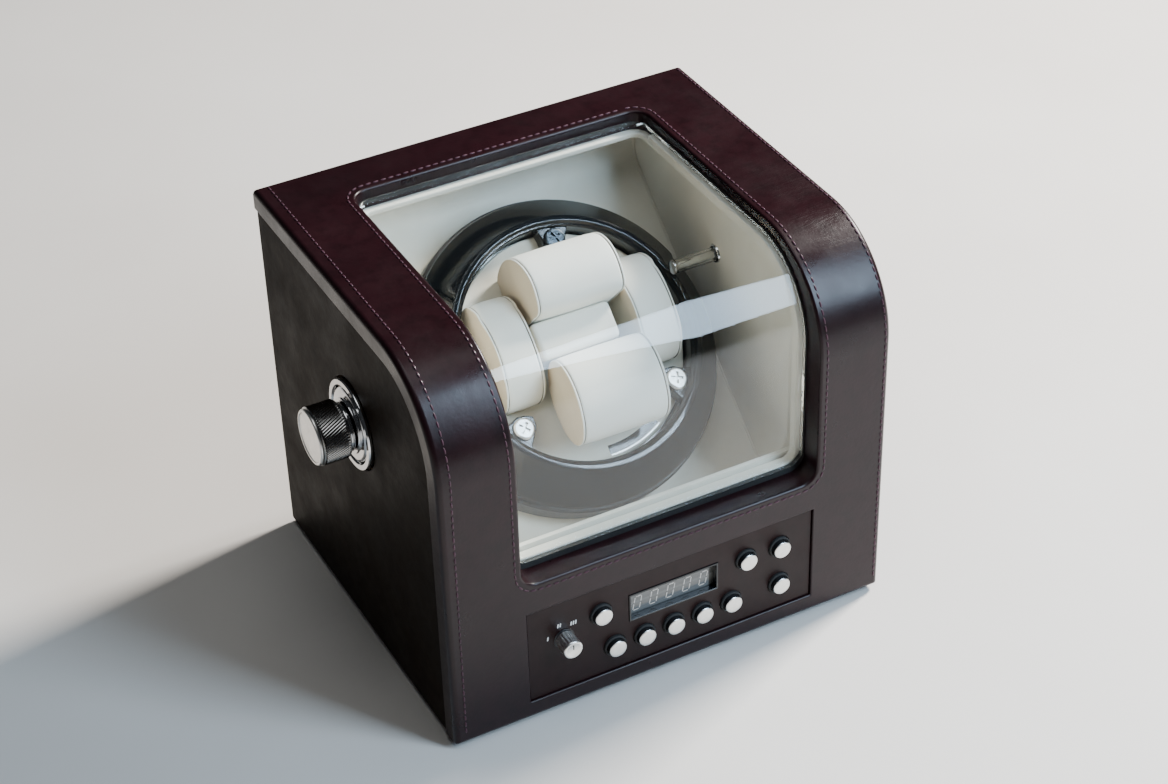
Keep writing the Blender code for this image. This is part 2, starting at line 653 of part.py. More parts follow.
def make_cushions():
    """The four lift-off watch cushions in a cross on the rotor. The bottom one stands on a foot."""
    cushion("cushion_top", MID_CUSHION_X, **TOP_OVAL)
    bottom = cushion("cushion_bottom", MID_CUSHION_X, **BOTTOM_OVAL)
    (foot_left, foot_low), (foot_right, foot_high) = CUSHION_FOOT
    boolean(bottom, box(
        "join_foot", (foot_left, foot_low, CUSHION_FLOOR), (foot_right, foot_high, BOTTOM_OVAL["middle"][1]),
        PLASTIC, parent=ROTOR), 'UNION')
    cushion("cushion_left", LEFT_CUSHION_X, **SIDE_OVAL)
    cushion("cushion_right", RIGHT_CUSHION_X, **SIDE_OVAL)


# ---------------------------------------------------------------- drive
def gear_mesh(name, teeth, low, high, turn=0.0):
    """A spur gear with straight-sided teeth, clearance-cut for a light plastic drive."""
    pitch = GEAR_MODULE * teeth / 2.0
    tip = pitch + GEAR_MODULE * 0.75
    root = pitch - GEAR_MODULE * 1.15
    step = 2.0 * math.pi / teeth
    outline = []
    for tooth in range(teeth):
        middle = tooth * step + turn
        for radius, part in ((root, -0.29), (tip, -0.10), (tip, 0.10), (root, 0.29)):
            angle = middle + part * step
            outline.append((radius * math.cos(angle), radius * math.sin(angle)))

    def build(sketch):
        face = sketch.faces.new([sketch.verts.new((x, y, low)) for x, y in outline])
        drawn = bmesh.ops.extrude_face_region(sketch, geom=[face])
        moved = [item for item in drawn["geom"] if isinstance(item, bmesh.types.BMVert)]
        bmesh.ops.translate(sketch, vec=(0.0, 0.0, high - low), verts=moved)

    return mesh_from(build, name)


def make_drive():
    """Drive gear on the rotor shaft, pinion, gear motor and the plate that carries the motor."""
    low = GEAR_TOP - GEAR_THICK
    gear = add_object("drive_gear", gear_mesh("drive_gear", GEAR_TEETH, low, GEAR_TOP), NYLON, parent=ROTOR)
    boolean(gear, cylinder("cut_gear_bore", 0.0053, -0.1, 0.1, PLASTIC, 20, parent=ROTOR))

    at_pinion = {"parent": ROTOR, "location": (GEAR_CENTRES, 0.0, 0.0)}
    half_tooth = math.pi / PINION_TEETH
    pinion = add_object(
        "motor_pinion", gear_mesh("motor_pinion", PINION_TEETH, low - 0.0005, GEAR_TOP + 0.0005, half_tooth),
        BRASS, **at_pinion)
    boolean(pinion, cylinder(
        "join_pinion_shaft", SCREW_RADIUS, -0.048, GEAR_TOP, PLASTIC, 12, **at_pinion), 'UNION')
    turned("gear_motor", [
        (0.0, -0.0485), (0.0018, -0.0485), (0.0018, -0.0415), (0.004, -0.0415), (0.004, -0.0436),
        (0.011, -0.0436), (0.011, -0.062), (0.0095, -0.062), (0.0095, -0.078), (0.0, -0.078),
    ], SATIN, 24, **at_pinion)

    plate_top = -0.0413
    mount = box(
        "motor_mount", (-0.027, -0.027, plate_top - 0.002), (0.054, 0.027, plate_top), SATIN, parent=ROTOR)
    posts = ((-0.022, 0.022), (-0.022, -0.022), (0.048, 0.0))
    deck_under = -DECK_DEPTH - LINER_THICK - GAP
    boolean(mount, cylinders(
        "join_posts", posts, 0.003, plate_top - 0.001, deck_under, 12, parent=ROTOR), 'UNION')
    holes = ((0.0, 0.0, 0.006), (GEAR_CENTRES, 0.0, 0.0043))
    for number, (x, y, radius) in enumerate(holes):
        boolean(mount, cylinders(f"cut_mount_{number}", [(x, y)], radius, -0.06, -0.04, 20, parent=ROTOR))


# ---------------------------------------------------------------- side knob
def make_side_knob():
    """Fixed bezel, stepped escutcheon and rotary control, and the knob that turns in them."""
    turned("knob_bezel", [
        (0.0232, 0.0052), (0.0240, 0.0044), (0.0240, GAP), (0.0201, GAP), (0.0201, 0.0040), (0.0212, 0.0052),
    ], CHROME, 28, parent=KNOB)
    turned("knob_escutcheon", [
        (0.0145, 0.0066), (0.0145, 0.0050), (0.0190, 0.0050), (0.0197, 0.0043), (0.0197, GAP),
        (0.0035, GAP), (0.0035, 0.0066),
    ], CHROME, 28, parent=KNOB)
    inner = -WALL - GAP
    turned("knob_control", [
        (0.0, -0.0200), (0.0033, -0.0200), (0.0033, -0.0005), (0.0046, -0.0005), (0.0046, inner),
        (0.010, inner), (0.010, inner - 0.012), (0.0, inner - 0.012),
    ], SATIN, 20, parent=KNOB)
    shaft_top = 0.0190
    turned("knob_shaft", [
        (0.0, shaft_top), (0.0030, shaft_top), (0.0030, 0.0090), (0.0125, 0.0090), (0.0125, 0.0070),
        (0.0030, 0.0070), (0.0030, -0.0190), (0.0, -0.0190),
    ], CHROME, 24, parent=KNOB)
    grip_top = KNOB_REACH - 0.0015
    turned("knob_grip", [
        (0.0, grip_top), (KNOB_RADIUS - 0.0006, grip_top), (KNOB_RADIUS, grip_top - 0.0006),
        (KNOB_RADIUS, 0.0099), (KNOB_RADIUS - 0.0006, 0.0093), (0.0033, 0.0093),
        (0.0033, shaft_top + 0.0005), (0.0, shaft_top + 0.0005),
    ], CHROME, 28, parent=KNOB)
    turned("knob_cap", [
        (0.0, KNOB_REACH), (KNOB_RADIUS - 0.0012, KNOB_REACH), (KNOB_RADIUS - 0.0006, KNOB_REACH - 0.0006),
        (KNOB_RADIUS - 0.0006, grip_top + GAP), (0.0, grip_top + GAP),
    ], CHROME, 28, parent=KNOB)


# ---------------------------------------------------------------- control panel
def make_panel():
    """The recessed control plate with its collars, display, circuit board and selector switch."""
    plate_back = PLATE_FRONT + PLATE_THICK
    plate = box(
        "control_plate", (-PLATE_HALF_WIDTH, PLATE_FRONT, PLATE_LOW),
        (PLATE_HALF_WIDTH, plate_back, PLATE_HIGH), SIDE_LEATHER)
    on_plate = {"location": (0.0, PLATE_FRONT, 0.0), "rotation": FACING_FRONT}
    boolean(plate, cylinders("cut_buttons", BUTTON_PLACES, COLLAR_RADIUS + GAP, -0.01, 0.01, 14, **on_plate))
    boolean(plate, cylinders("cut_selector", [SELECTOR_PLACE], 0.0034, -0.01, 0.01, **on_plate))

    middle_x, middle_z = DISPLAY_CENTRE
    frame_x = DISPLAY_HALF[0] + DISPLAY_BORDER
    frame_z = DISPLAY_HALF[1] + DISPLAY_BORDER

    def display_box(name, half_x, half_z, front, back, material):
        low = (middle_x - half_x, front, middle_z - half_z)
        high = (middle_x + half_x, back, middle_z + half_z)
        return box(name, low, high, material)

    boolean(plate, display_box("cut_display", frame_x + GAP, frame_z + GAP, -0.01, 0.01, PLASTIC))

    sheet_front = plate_back + GAP
    sheet_back = sheet_front + 0.0015
    collars = box("button_collars", (-0.049, sheet_front, 0.021), (0.071, sheet_back, 0.062), RUBBER)
    boolean(collars, cylinders(
        "join_collars", BUTTON_PLACES, COLLAR_RADIUS, PLATE_FRONT - sheet_back + 0.0004, 0.0015, 14,
        **on_plate), 'UNION')
    boolean(collars, cylinders(
        "cut_collars", BUTTON_PLACES, BUTTON_RADIUS + GAP, -0.01, 0.01, 14, **on_plate))
    boolean(collars, display_box("cut_sheet", frame_x + GAP, frame_z + GAP, -0.01, 0.01, PLASTIC))

    bezel = display_box("display_bezel", frame_x, frame_z, 0.0008, sheet_back, PLASTIC)
    boolean(bezel, display_box("cut_bezel", *DISPLAY_HALF, -0.01, 0.01, PLASTIC))
    display_box("display_panel", frame_x - 0.0006, frame_z - 0.0006, sheet_back + GAP, 0.0086, DISPLAY)

    board_front = 0.0120
    box("circuit_board", (-0.074, board_front, 0.019), (0.074, board_front + 0.0016, 0.064), BOARD_GREEN)
    x, z = SELECTOR_PLACE
    switch = box(
        "selector_switch", (x - 0.007, sheet_front + 0.001, z - 0.007),
        (x + 0.007, board_front - GAP, z + 0.007), PLASTIC)
    boolean(switch, cylinders("join_bush", [SELECTOR_PLACE], 0.0031, -0.004, -0.0003, **on_plate), 'UNION')
    boolean(switch, cylinders("cut_bush", [SELECTOR_PLACE], 0.0018, -0.0085, 0.01, 12, **on_plate))
    turned("selector_knob", [
        (0.0, SELECTOR_REACH), (SELECTOR_RADIUS - 0.0005, SELECTOR_REACH),
        (SELECTOR_RADIUS, SELECTOR_REACH - 0.0005), (SELECTOR_RADIUS, 0.0004), (0.0015, 0.0004),
        (0.0015, -0.0080), (0.0, -0.0080),
    ], SATIN, 20, location=(x, PLATE_FRONT, z), rotation=FACING_FRONT)


def make_buttons():
    """The nine pushbuttons, each a satin cap on its stem."""
    edge = 0.0006
    for number, (x, z) in enumerate(BUTTON_PLACES, start=1):
        turned(f"button_{number}", [
            (0.0, BUTTON_REACH), (BUTTON_RADIUS - edge, BUTTON_REACH), (BUTTON_RADIUS, BUTTON_REACH - edge),
            (BUTTON_RADIUS, -0.0010), (0.0024, -0.0010), (0.0024, -0.0080), (0.0, -0.0080),
        ], SATIN, 14, location=(x, PLATE_FRONT, z), rotation=FACING_FRONT)


make_cover()
make_carcass()
make_side_panels()
make_back()
make_base()
make_lid()
make_lining()
make_lamp()
make_rotor_base()
make_rotor()
make_cushions()
make_drive()
make_side_knob()
make_panel()
make_buttons()
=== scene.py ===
"""Looks of a leather watch winder for four watches, built round its CAD pieces."""
import math
import random

import bmesh
import bpy
from mathutils import Matrix, Vector


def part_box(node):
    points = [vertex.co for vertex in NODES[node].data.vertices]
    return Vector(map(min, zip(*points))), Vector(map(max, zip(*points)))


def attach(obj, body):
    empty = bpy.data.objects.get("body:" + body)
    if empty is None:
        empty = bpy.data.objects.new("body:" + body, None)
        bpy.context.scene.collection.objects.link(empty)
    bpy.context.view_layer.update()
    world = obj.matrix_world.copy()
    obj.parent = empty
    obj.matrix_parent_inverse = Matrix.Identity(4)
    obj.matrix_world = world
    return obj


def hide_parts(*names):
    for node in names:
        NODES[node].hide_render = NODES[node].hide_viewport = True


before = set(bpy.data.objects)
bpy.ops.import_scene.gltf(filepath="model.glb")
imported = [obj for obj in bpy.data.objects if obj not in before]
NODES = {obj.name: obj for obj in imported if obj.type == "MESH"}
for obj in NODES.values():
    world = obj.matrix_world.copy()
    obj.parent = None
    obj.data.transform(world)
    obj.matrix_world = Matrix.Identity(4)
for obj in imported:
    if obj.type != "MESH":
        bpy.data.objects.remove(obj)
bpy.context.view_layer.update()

# ---------------------------------------------------------------- the object's own sizes, metres
HALF_WIDTH = 0.125
TOP = 0.217
DEPTH = 0.210
BASE = 0.003
BEND = 0.055
LIP = 0.012
PANEL_OUT = 0.1238
CORE = 0.1212

LID_AXIS = (0.057, 0.167)
LID_RADIUS = 0.045
LID_THICK = 0.004
LID_HALF = 0.0825
LID_REAR = 0.1785
LID_BOTTOM = 0.093

WINDOW_HALF = 0.084
WINDOW_REAR = 0.180
WINDOW_SILL = 0.089
WINDOW_CORNER = 0.009
SEAT_RADIUS = 0.0407
SEAT_HALF = 0.0802
SEAT_REAR = 0.1757
SEAT_SILL = 0.0935
LINING_TOP = 0.0955
SEAT_INNER = 0.035

TILT = math.radians(42.0)
ROTOR_Y, ROTOR_Z = 0.1101, 0.1318
PLATE_FRONT = 0.0015
PLATE_HALF = 0.082
PLATE_LOW, PLATE_HIGH = 0.014, 0.0705
PLATE_GAP = 0.0004
BUTTONS = (
    (-0.0411, 0.0537), (-0.0336, 0.0295), (-0.0165, 0.0295), (0.0004, 0.0295), (0.0172, 0.0295),
    (0.0343, 0.0295), (0.0430, 0.0539), (0.0630, 0.0539), (0.0630, 0.0297),
)
SELECTOR = (-0.0620, 0.0465)
DISPLAY_X, DISPLAY_Z = 0.0008, 0.0498
DISPLAY_HALF_X, DISPLAY_HALF_Z = 0.0248, 0.0076
LAMP = (0.1067, 0.1665)
TINY = 1e-5          # slack for telling which side of an edge a corner lies on

cover_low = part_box("top_front_cover")[0]
SHIFT = Vector((cover_low.x + HALF_WIDTH, cover_low.y, 0.0))
CASE = Matrix.Translation(SHIFT)
ROTOR = CASE @ Matrix.Translation((0.0, ROTOR_Y, ROTOR_Z)) @ Matrix.Rotation(TILT, 4, 'X')
KNOB = CASE @ Matrix.Translation((-CORE, 0.102, 0.138)) @ Matrix.Rotation(-math.pi / 2, 4, 'Y')
ALONG_X = Matrix.Rotation(math.pi / 2, 4, 'Y')


def on_front(x, z):
    """Placement of a piece on the control panel, its local Z pointing out of the front."""
    return CASE @ Matrix.Translation((x, PLATE_FRONT, z)) @ Matrix.Rotation(math.pi / 2, 4, 'X')


# ---------------------------------------------------------------- material helpers
class Look:
    """One Principled material and short calls that add detail nodes to it."""

    def __init__(self, name, colour, roughness, **sockets):
        self.material = bpy.data.materials.new(name)
        self.material.use_nodes = True
        self.tree = self.material.node_tree
        self.shader = self.tree.nodes["Principled BSDF"]
        self.drive("Base Color", (*colour, 1.0))
        self.drive("Roughness", roughness)
        for socket, value in sockets.items():
            self.drive(socket.replace("_", " "), value)
        self.coordinates = self.node("ShaderNodeTexCoord").outputs["Object"]
        self.normal = None

    def node(self, kind, **inputs):
        """Add a node. Inputs may be values or sockets."""
        node = self.tree.nodes.new(kind)
        for name, value in inputs.items():
            self.join(node, name.replace("_", " "), value)
        return node

    def join(self, node, socket, value):
        """Link a socket or set a value."""
        if isinstance(value, bpy.types.NodeSocket):
            self.tree.links.new(value, node.inputs[socket])
        else:
            node.inputs[socket].default_value = value

    def drive(self, socket, value):
        """Give the shader a value or a socket."""
        self.join(self.shader, socket, value)

    def stretched(self, scale, turn=(0.0, 0.0, 0.0)):
        """Object coordinates, turned and scaled."""
        mapping = self.node("ShaderNodeMapping", Vector=self.coordinates, Scale=scale, Rotation=turn)
        return mapping.outputs["Vector"]

    def noise(self, scale, detail=3.0, rough=0.55, vector=None, distortion=0.0):
        """A noise value from 0 to 1."""
        node = self.node(
            "ShaderNodeTexNoise", Vector=vector or self.coordinates, Scale=scale, Detail=detail,
            Roughness=rough, Distortion=distortion)
        return node.outputs["Fac"]

    def cells(self, scale, feature='F1'):
        """Distance in a cell pattern."""
        node = self.node("ShaderNodeTexVoronoi", Vector=self.coordinates, Scale=scale, Randomness=1.0)
        node.feature = feature
        return node.outputs["Distance"]

    def spread(self, value, low, high, new_low, new_high):
        """Map a value range to another, clamped."""
        node = self.node(
            "ShaderNodeMapRange", Value=value, From_Min=low, From_Max=high, To_Min=new_low, To_Max=new_high)
        return node.outputs["Result"]

    def combined(self, operation, first, second):
        """Two values joined by a maths operation."""
        node = self.node("ShaderNodeMath", Value=first)
        node.operation = operation
        self.join(node, 1, second)
        return node.outputs[0]

    def blend(self, factor, first, second):
        """Mix two colours by a factor."""
        node = self.tree.nodes.new("ShaderNodeMix")
        node.data_type = 'RGBA'
        self.tree.links.new(factor, node.inputs["Factor"])
        for name, colour in (("A", first), ("B", second)):
            socket = next(i for i in node.inputs if i.name == name and i.type == 'RGBA')
            if isinstance(colour, bpy.types.NodeSocket):
                self.tree.links.new(colour, socket)
            else:
                socket.default_value = (*colour, 1.0)
        return next(o for o in node.outputs if o.type == 'RGBA')

    def tint(self, value, low, high, first, second):
        """Colour the shader from one colour to another as a value rises."""
        self.drive("Base Color", self.blend(self.spread(value, low, high, 0.0, 1.0), first, second))

    def bump(self, height, strength, distance):
        """Stack a bump on the ones before it."""
        node = self.node("ShaderNodeBump", Height=height, Strength=strength, Distance=distance)
        if self.normal is not None:
            self.join(node, "Normal", self.normal)
        self.normal = node.outputs["Normal"]
        self.drive("Normal", self.normal)


def leather(name, dark, light, roughness, bump=1.0, coat=0.16, shine=0.20, creased=False):
    """Smooth finished leather: pores, fine creases, uneven dye and polish."""
    look = Look(name, dark, roughness, Coat_Weight=coat, Coat_Roughness=0.25, Specular_IOR_Level=shine)
    cloud = look.noise(9.0, 4.0, 0.6)
    mottling = look.noise(120.0, 3.0, 0.6)
    tone = look.blend(look.spread(cloud, 0.35, 0.68, 0.0, 1.0), dark, light)
    deep = tuple(channel * 0.62 for channel in dark)
    look.drive("Base Color", look.blend(look.spread(mottling, 0.30, 0.55, 0.55, 0.0), tone, deep))
    polish = look.noise(38.0, 5.0, 0.65)
    look.drive("Roughness", look.spread(polish, 0.3, 0.7, roughness - 0.07, roughness + 0.10))
    wrinkles = look.noise(75.0, 6.0, 0.62, look.stretched((1.0, 0.45, 0.7), (0.3, 0.2, 0.7)), 0.6)
    pores = look.cells(1250.0)
    grain = look.cells(520.0, 'SMOOTH_F1')
    look.bump(look.noise(14.0, 2.0), 0.25 * bump, 0.0016)
    look.bump(wrinkles, 0.16 * bump, 0.0007)
    look.bump(grain, 0.10 * bump, 0.0003)
    look.bump(pores, 0.08 * bump, 0.00015)
    if creased:
        look.bump(folded_near_bend(look), 0.16, 0.0006)
    return look.material


def folded_near_bend(look):
    """Height of the fine creases that the leather has where the right strap starts to bend."""
    split = look.node("ShaderNodeSeparateXYZ", Vector=look.coordinates)
    lines = look.noise(210.0, 5.0, 0.7, look.stretched((0.22, 1.0, 1.0), (0.0, 0.0, 0.5)), 0.9)
    ridges = look.spread(lines, 0.44, 0.60, 0.0, 1.0)
    near = look.spread(split.outputs["X"], 0.088, 0.104, 0.0, 1.0)
    rear = look.spread(split.outputs["Y"], 0.070, 0.125, 1.0, 0.0)
    front = look.spread(split.outputs["Y"], 0.012, 0.045, 0.0, 1.0)
    for mask in (near, rear, front):
        ridges = look.combined('MULTIPLY', ridges, mask)
    return ridges


def suede(name, colour, shade):
    """Short-napped microfibre: brushed patches, fibres and a soft sheen."""
    look = Look(name, colour, 0.93, Sheen_Weight=0.25, Sheen_Roughness=0.45, Specular_IOR_Level=0.2)
    nap = look.noise(26.0, 4.0, 0.6, None, 0.8)
    fibres = look.noise(1500.0, 2.0, 0.6)
    tone = look.blend(look.spread(nap, 0.32, 0.70, 0.0, 1.0), shade, colour)
    look.drive("Base Color", look.blend(look.spread(fibres, 0.35, 0.65, 0.22, 0.0), tone, shade))
    look.bump(look.noise(60.0, 3.0), 0.10, 0.0006)
    look.bump(fibres, 0.12, 0.0002)
    return look.material


def polished(name, colour, roughness, metallic, wear=0.05):
    """Metal or gloss plastic with faint smears and fine scratches."""
    look = Look(name, colour, roughness, Metallic=metallic)
    smears = look.noise(55.0, 5.0, 0.65, None, 0.5)
    scratches = look.noise(260.0, 4.0, 0.7, look.stretched((1.0, 0.05, 0.2), (0.2, 0.5, 0.9)))
    worn = look.combined('MULTIPLY', smears, scratches)
    look.drive("Roughness", look.spread(worn, 0.16, 0.50, roughness, roughness + wear))
    look.tint(smears, 0.35, 0.65, tuple(channel * 0.86 for channel in colour), colour)
    look.bump(look.noise(20.0, 1.0), 0.04, 0.0006)
    return look.material


def satin_metal(name, colour, roughness):
    """Turned satin metal: rings round the local axis and fine grain."""
    look = Look(name, colour, roughness, Metallic=1.0)
    grain = look.noise(1600.0, 3.0, 0.7, look.stretched((1.0, 1.0, 0.25)))
    patches = look.noise(180.0, 3.0)
    look.drive("Roughness", look.spread(grain, 0.3, 0.7, roughness - 0.05, roughness + 0.10))
    look.tint(patches, 0.35, 0.65, tuple(channel * 0.88 for channel in colour), colour)
    look.bump(grain, 0.10, 0.0001)
    return look.material


def moulded(name, colour, roughness):
    """Moulded plastic or rubber with a fine spark texture."""
    look = Look(name, colour, roughness)
    grain = look.noise(1300.0, 3.0, 0.6)
    cloud = look.noise(40.0, 3.0)
    lighter = tuple(min(1.0, channel * 1.5 + 0.004) for channel in colour)
    look.tint(cloud, 0.35, 0.7, colour, lighter)
    look.drive("Roughness", look.spread(grain, 0.3, 0.7, roughness - 0.05, roughness + 0.08))
    look.bump(grain, 0.18, 0.0001)
    return look.material


def clear(name, colour, bending, coat):
    """Clear pane or tube that lets lamps through, with faint smears on it."""
    look = Look(
        name, colour, 0.0, Transmission_Weight=1.0, IOR=bending, Coat_Weight=coat, Coat_Roughness=0.0,
        Coat_IOR=1.5)
    smears = look.noise(22.0, 5.0, 0.7, None, 1.2)
    look.drive("Roughness", look.spread(smears, 0.55, 0.8, 0.0, 0.035))
    path = look.node("ShaderNodeLightPath")
    lets_through = look.combined('MAXIMUM', path.outputs["Is Shadow Ray"], path.outputs["Is Diffuse Ray"])
    open_air = look.node("ShaderNodeBsdfTransparent", Color=(0.97, 0.985, 0.98, 1.0))
    mixer = look.node("ShaderNodeMixShader", Fac=lets_through)
    look.join(mixer, 1, look.shader.outputs["BSDF"])
    look.join(mixer, 2, open_air.outputs["BSDF"])
    output = next(node for node in look.tree.nodes if node.type == 'OUTPUT_MATERIAL')
    look.join(output, "Surface", mixer.outputs["Shader"])
    return look.material


def wood_board():
    """Raw board inside the case."""
    look = Look("raw_board", (0.33, 0.21, 0.12), 0.7)
    figure = look.noise(30.0, 5.0, 0.6, look.stretched((1.0, 0.08, 1.0)), 0.7)
    look.tint(figure, 0.3, 0.7, (0.22, 0.13, 0.07), (0.42, 0.29, 0.18))
    look.bump(figure, 0.2, 0.0004)
    return look.material


LEATHER = leather("burgundy_leather", (0.0092, 0.0020, 0.0032), (0.0170, 0.0040, 0.0058), 0.32, creased=True)
SIDE_LEATHER = leather(
    "brown_leather", (0.0085, 0.0048, 0.0026), (0.0160, 0.0092, 0.0050), 0.52, coat=0.0, shine=0.05)
PANEL_LEATHER = leather(
    "panel_leather", (0.0110, 0.0034, 0.0034), (0.0175, 0.0054, 0.0052), 0.42, bump=0.5, coat=0.08,
    shine=0.16)
THREAD = leather("burgundy_thread", (0.050, 0.018, 0.030), (0.090, 0.036, 0.052), 0.50, 0.5)
SUEDE = suede("cream_suede", (0.880, 0.845, 0.745), (0.790, 0.745, 0.640))
CUSHION_SUEDE = suede("cushion_suede", (0.930, 0.915, 0.840), (0.875, 0.850, 0.765))
# Darker tan suede for the pads' end faces: painted shade, as the ends turn away from the light.
SHADED_END_SUEDE = suede("cushion_end_painted_shade", (0.720, 0.620, 0.480), (0.640, 0.535, 0.400))
SEAM = suede("seam_thread", (0.13, 0.095, 0.065), (0.075, 0.055, 0.038))
BLACK_GLOSS = polished("black_gloss", (0.0035, 0.0048, 0.0062), 0.09, 0.0, 0.03)
DRUM_BLACK = moulded("drum_black", (0.020, 0.018, 0.017), 0.42)
BLACK_PLASTIC = moulded("black_plastic", (0.009, 0.009, 0.010), 0.38)
RUBBER = moulded("black_rubber", (0.012, 0.012, 0.012), 0.75)
CHROME = polished("chrome", (0.70, 0.70, 0.705), 0.07, 1.0)
SATIN = satin_metal("satin_steel", (0.86, 0.845, 0.81), 0.32)
PAINT = moulded("white_paint", (0.72, 0.70, 0.66), 0.5)
BRASS = satin_metal("machined_brass", (0.70, 0.50, 0.22), 0.30)
GUNMETAL = polished("gunmetal", (0.34, 0.335, 0.325), 0.16, 1.0, 0.10)
# Dark steel for the top screw alone: a painted dark reflection on a screw like the others.
DARK_REFLECTION_STEEL = satin_metal("steel_painted_dark_reflection", (0.05, 0.06, 0.07), 0.28)
NYLON = moulded("nylon", (0.62, 0.60, 0.52), 0.45)
GLASS = clear("clear_glass", (0.985, 0.998, 0.993), 1.10, 0.6)
TUBE_GLASS = clear("tube_glass", (0.985, 0.998, 0.993), 1.45, 0.0)
BOARD = wood_board()
CIRCUIT = moulded("circuit_green", (0.015, 0.11, 0.05), 0.35)


def display_look():
    """Grey display behind smoked film, with its faint horizontal rows."""
    look = Look("display_grey", (0.085, 0.088, 0.086), 0.18, Coat_Weight=0.6, Coat_Roughness=0.05)
    rows = look.noise(300.0, 2.0, 0.5, look.stretched((0.05, 1.0, 3.0)))
    look.tint(rows, 0.3, 0.7, (0.060, 0.062, 0.060), (0.105, 0.108, 0.104))
    return look.material


def glow_look():
    """Pale lit segments of the digits."""
    glow = (0.95, 0.90, 0.85, 1.0)
    look = Look("lit_segment", (0.50, 0.48, 0.45), 0.4, Emission_Color=glow, Emission_Strength=0.12)
    look.tint(look.noise(500.0, 2.0), 0.3, 0.7, (0.42, 0.40, 0.37), (0.60, 0.58, 0.54))
    return look.material


DISPLAY = display_look()
SEGMENT = glow_look()


# ---------------------------------------------------------------- mesh helpers
def linked(name, data):
    """A new object in the scene."""
    item = bpy.data.objects.new(name, data)
    bpy.context.scene.collection.objects.link(item)
    return item


def evaluated(holder):
    """The mesh of an object as its modifiers or its bevel leave it."""
    graph = bpy.context.evaluated_depsgraph_get()
    return bpy.data.meshes.new_from_object(holder.evaluated_get(graph))


def finish_mesh(mesh, smooth_angle):
    """Shade smooth with sharp edges over an angle, the large faces keeping their own direction."""
    mesh.shade_smooth()
    mesh.set_sharp_from_angle(angle=math.radians(smooth_angle))
    return baked(mesh, [('WEIGHTED_NORMAL', {"weight": 100, "keep_sharp": True})])


def add_piece(name, mesh, material, placing, body, replaces=(), smooth_angle=35.0):
    """Link a mesh as a piece of the object that rides on a body."""
    if smooth_angle:
        mesh = finish_mesh(mesh, smooth_angle)
    piece = linked(name, mesh)
    piece.matrix_world = placing
    mesh.materials.clear()
    mesh.materials.append(material)
    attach(piece, body)
    if replaces:
        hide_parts(*replaces)
    return piece


def mesh_from(name, build):
    """Run a bmesh builder and return the mesh, faces pointing out."""
    mesh = bpy.data.meshes.new(name)
    sketch = bmesh.new()
    build(sketch)
    bmesh.ops.recalc_face_normals(sketch, faces=sketch.faces)
    sketch.to_mesh(mesh)
    sketch.free()
    return mesh


def baked(mesh, modifiers):
    """The mesh with a list of modifier settings applied to it."""
    holder = linked("holder", mesh)
    cutters = []
    for kind, settings in modifiers:
        modifier = holder.modifiers.new(kind.lower(), kind)
        for key, value in settings.items():
            if key == "object":
                value = linked("cutter", value)
                cutters.append(value)
            setattr(modifier, key, value)
    bpy.context.view_layer.update()
    result = evaluated(holder)
    result.name = mesh.name
    for used in [holder, *cutters]:
        bpy.data.objects.remove(used)
    return result


def cut(tool):
    """Settings of an exact Boolean that takes a tool mesh away."""
    return ('BOOLEAN', {"operation": 'DIFFERENCE', "solver": 'EXACT', "object": tool})


def rounding(width, segments=3, angle=35.0):
    """Settings of a bevel on the sharp edges."""
    return ('BEVEL', {
        "width": width, "segments": segments, "limit_method": 'ANGLE', "angle_limit": math.radians(angle),
        "harden_normals": False})


def arc(centre, radius, start, end, steps):
    """Points of a circular arc, angles in degrees, both ends included."""
    points = []
    for step in range(steps + 1):
        angle = math.radians(start + (end - start) * step / steps)
        points.append((centre[0] + radius * math.cos(angle), centre[1] + radius * math.sin(angle)))
    return points


def filleted(points, radius, steps=4):
    """An open profile with its inner corners rounded, each radius cut short where a side is short."""
    result = [points[0]]
    for before, corner, after in zip(points, points[1:], points[2:]):
        a = Vector(before) - Vector(corner)
        b = Vector(after) - Vector(corner)
        reach = min(radius, a.length * 0.45, b.length * 0.45)
        start = Vector(corner) + a.normalized() * reach
        end = Vector(corner) + b.normalized() * reach
        for step in range(steps + 1):
            t = step / steps
            middle = start.lerp(Vector(corner), t).lerp(Vector(corner).lerp(end, t), t)
            result.append((middle.x, middle.y))
    result.append(points[-1])
    return result


def skinned(sketch, rings):
    """Join rings of vertices one after another. A ring may be a single vertex."""
    for low, high in zip(rings, rings[1:]):
        count = max(len(low), len(high))
        if count == 1:
            continue
        for step in range(count):
            after = (step + 1) % count
            if len(low) == 1:
                sketch.faces.new((low[0], high[after], high[step]))
            elif len(high) == 1:
                sketch.faces.new((low[step], low[after], high[0]))
            else:
                sketch.faces.new((low[step], low[after], high[after], high[step]))


def turned_mesh(name, profile, steps, wave=None):
    """A (radius, height) profile swept round Z. wave(angle, radius, height) may move the radius."""

    def build(sketch):
        rings = []
        for radius, height in profile:
            if radius < 1e-7:
                rings.append([sketch.verts.new((0.0, 0.0, height))])
                continue
            ring = []
            for step in range(steps):
                angle = 2.0 * math.pi * step / steps
                reach = wave(angle, radius, height) if wave else radius
                ring.append(sketch.verts.new((reach * math.cos(angle), reach * math.sin(angle), height)))
            rings.append(ring)
        closed = len(rings[0]) > 1 and len(rings[-1]) > 1
        skinned(sketch, rings + rings[:1] if closed else rings)

    return mesh_from(name, build)


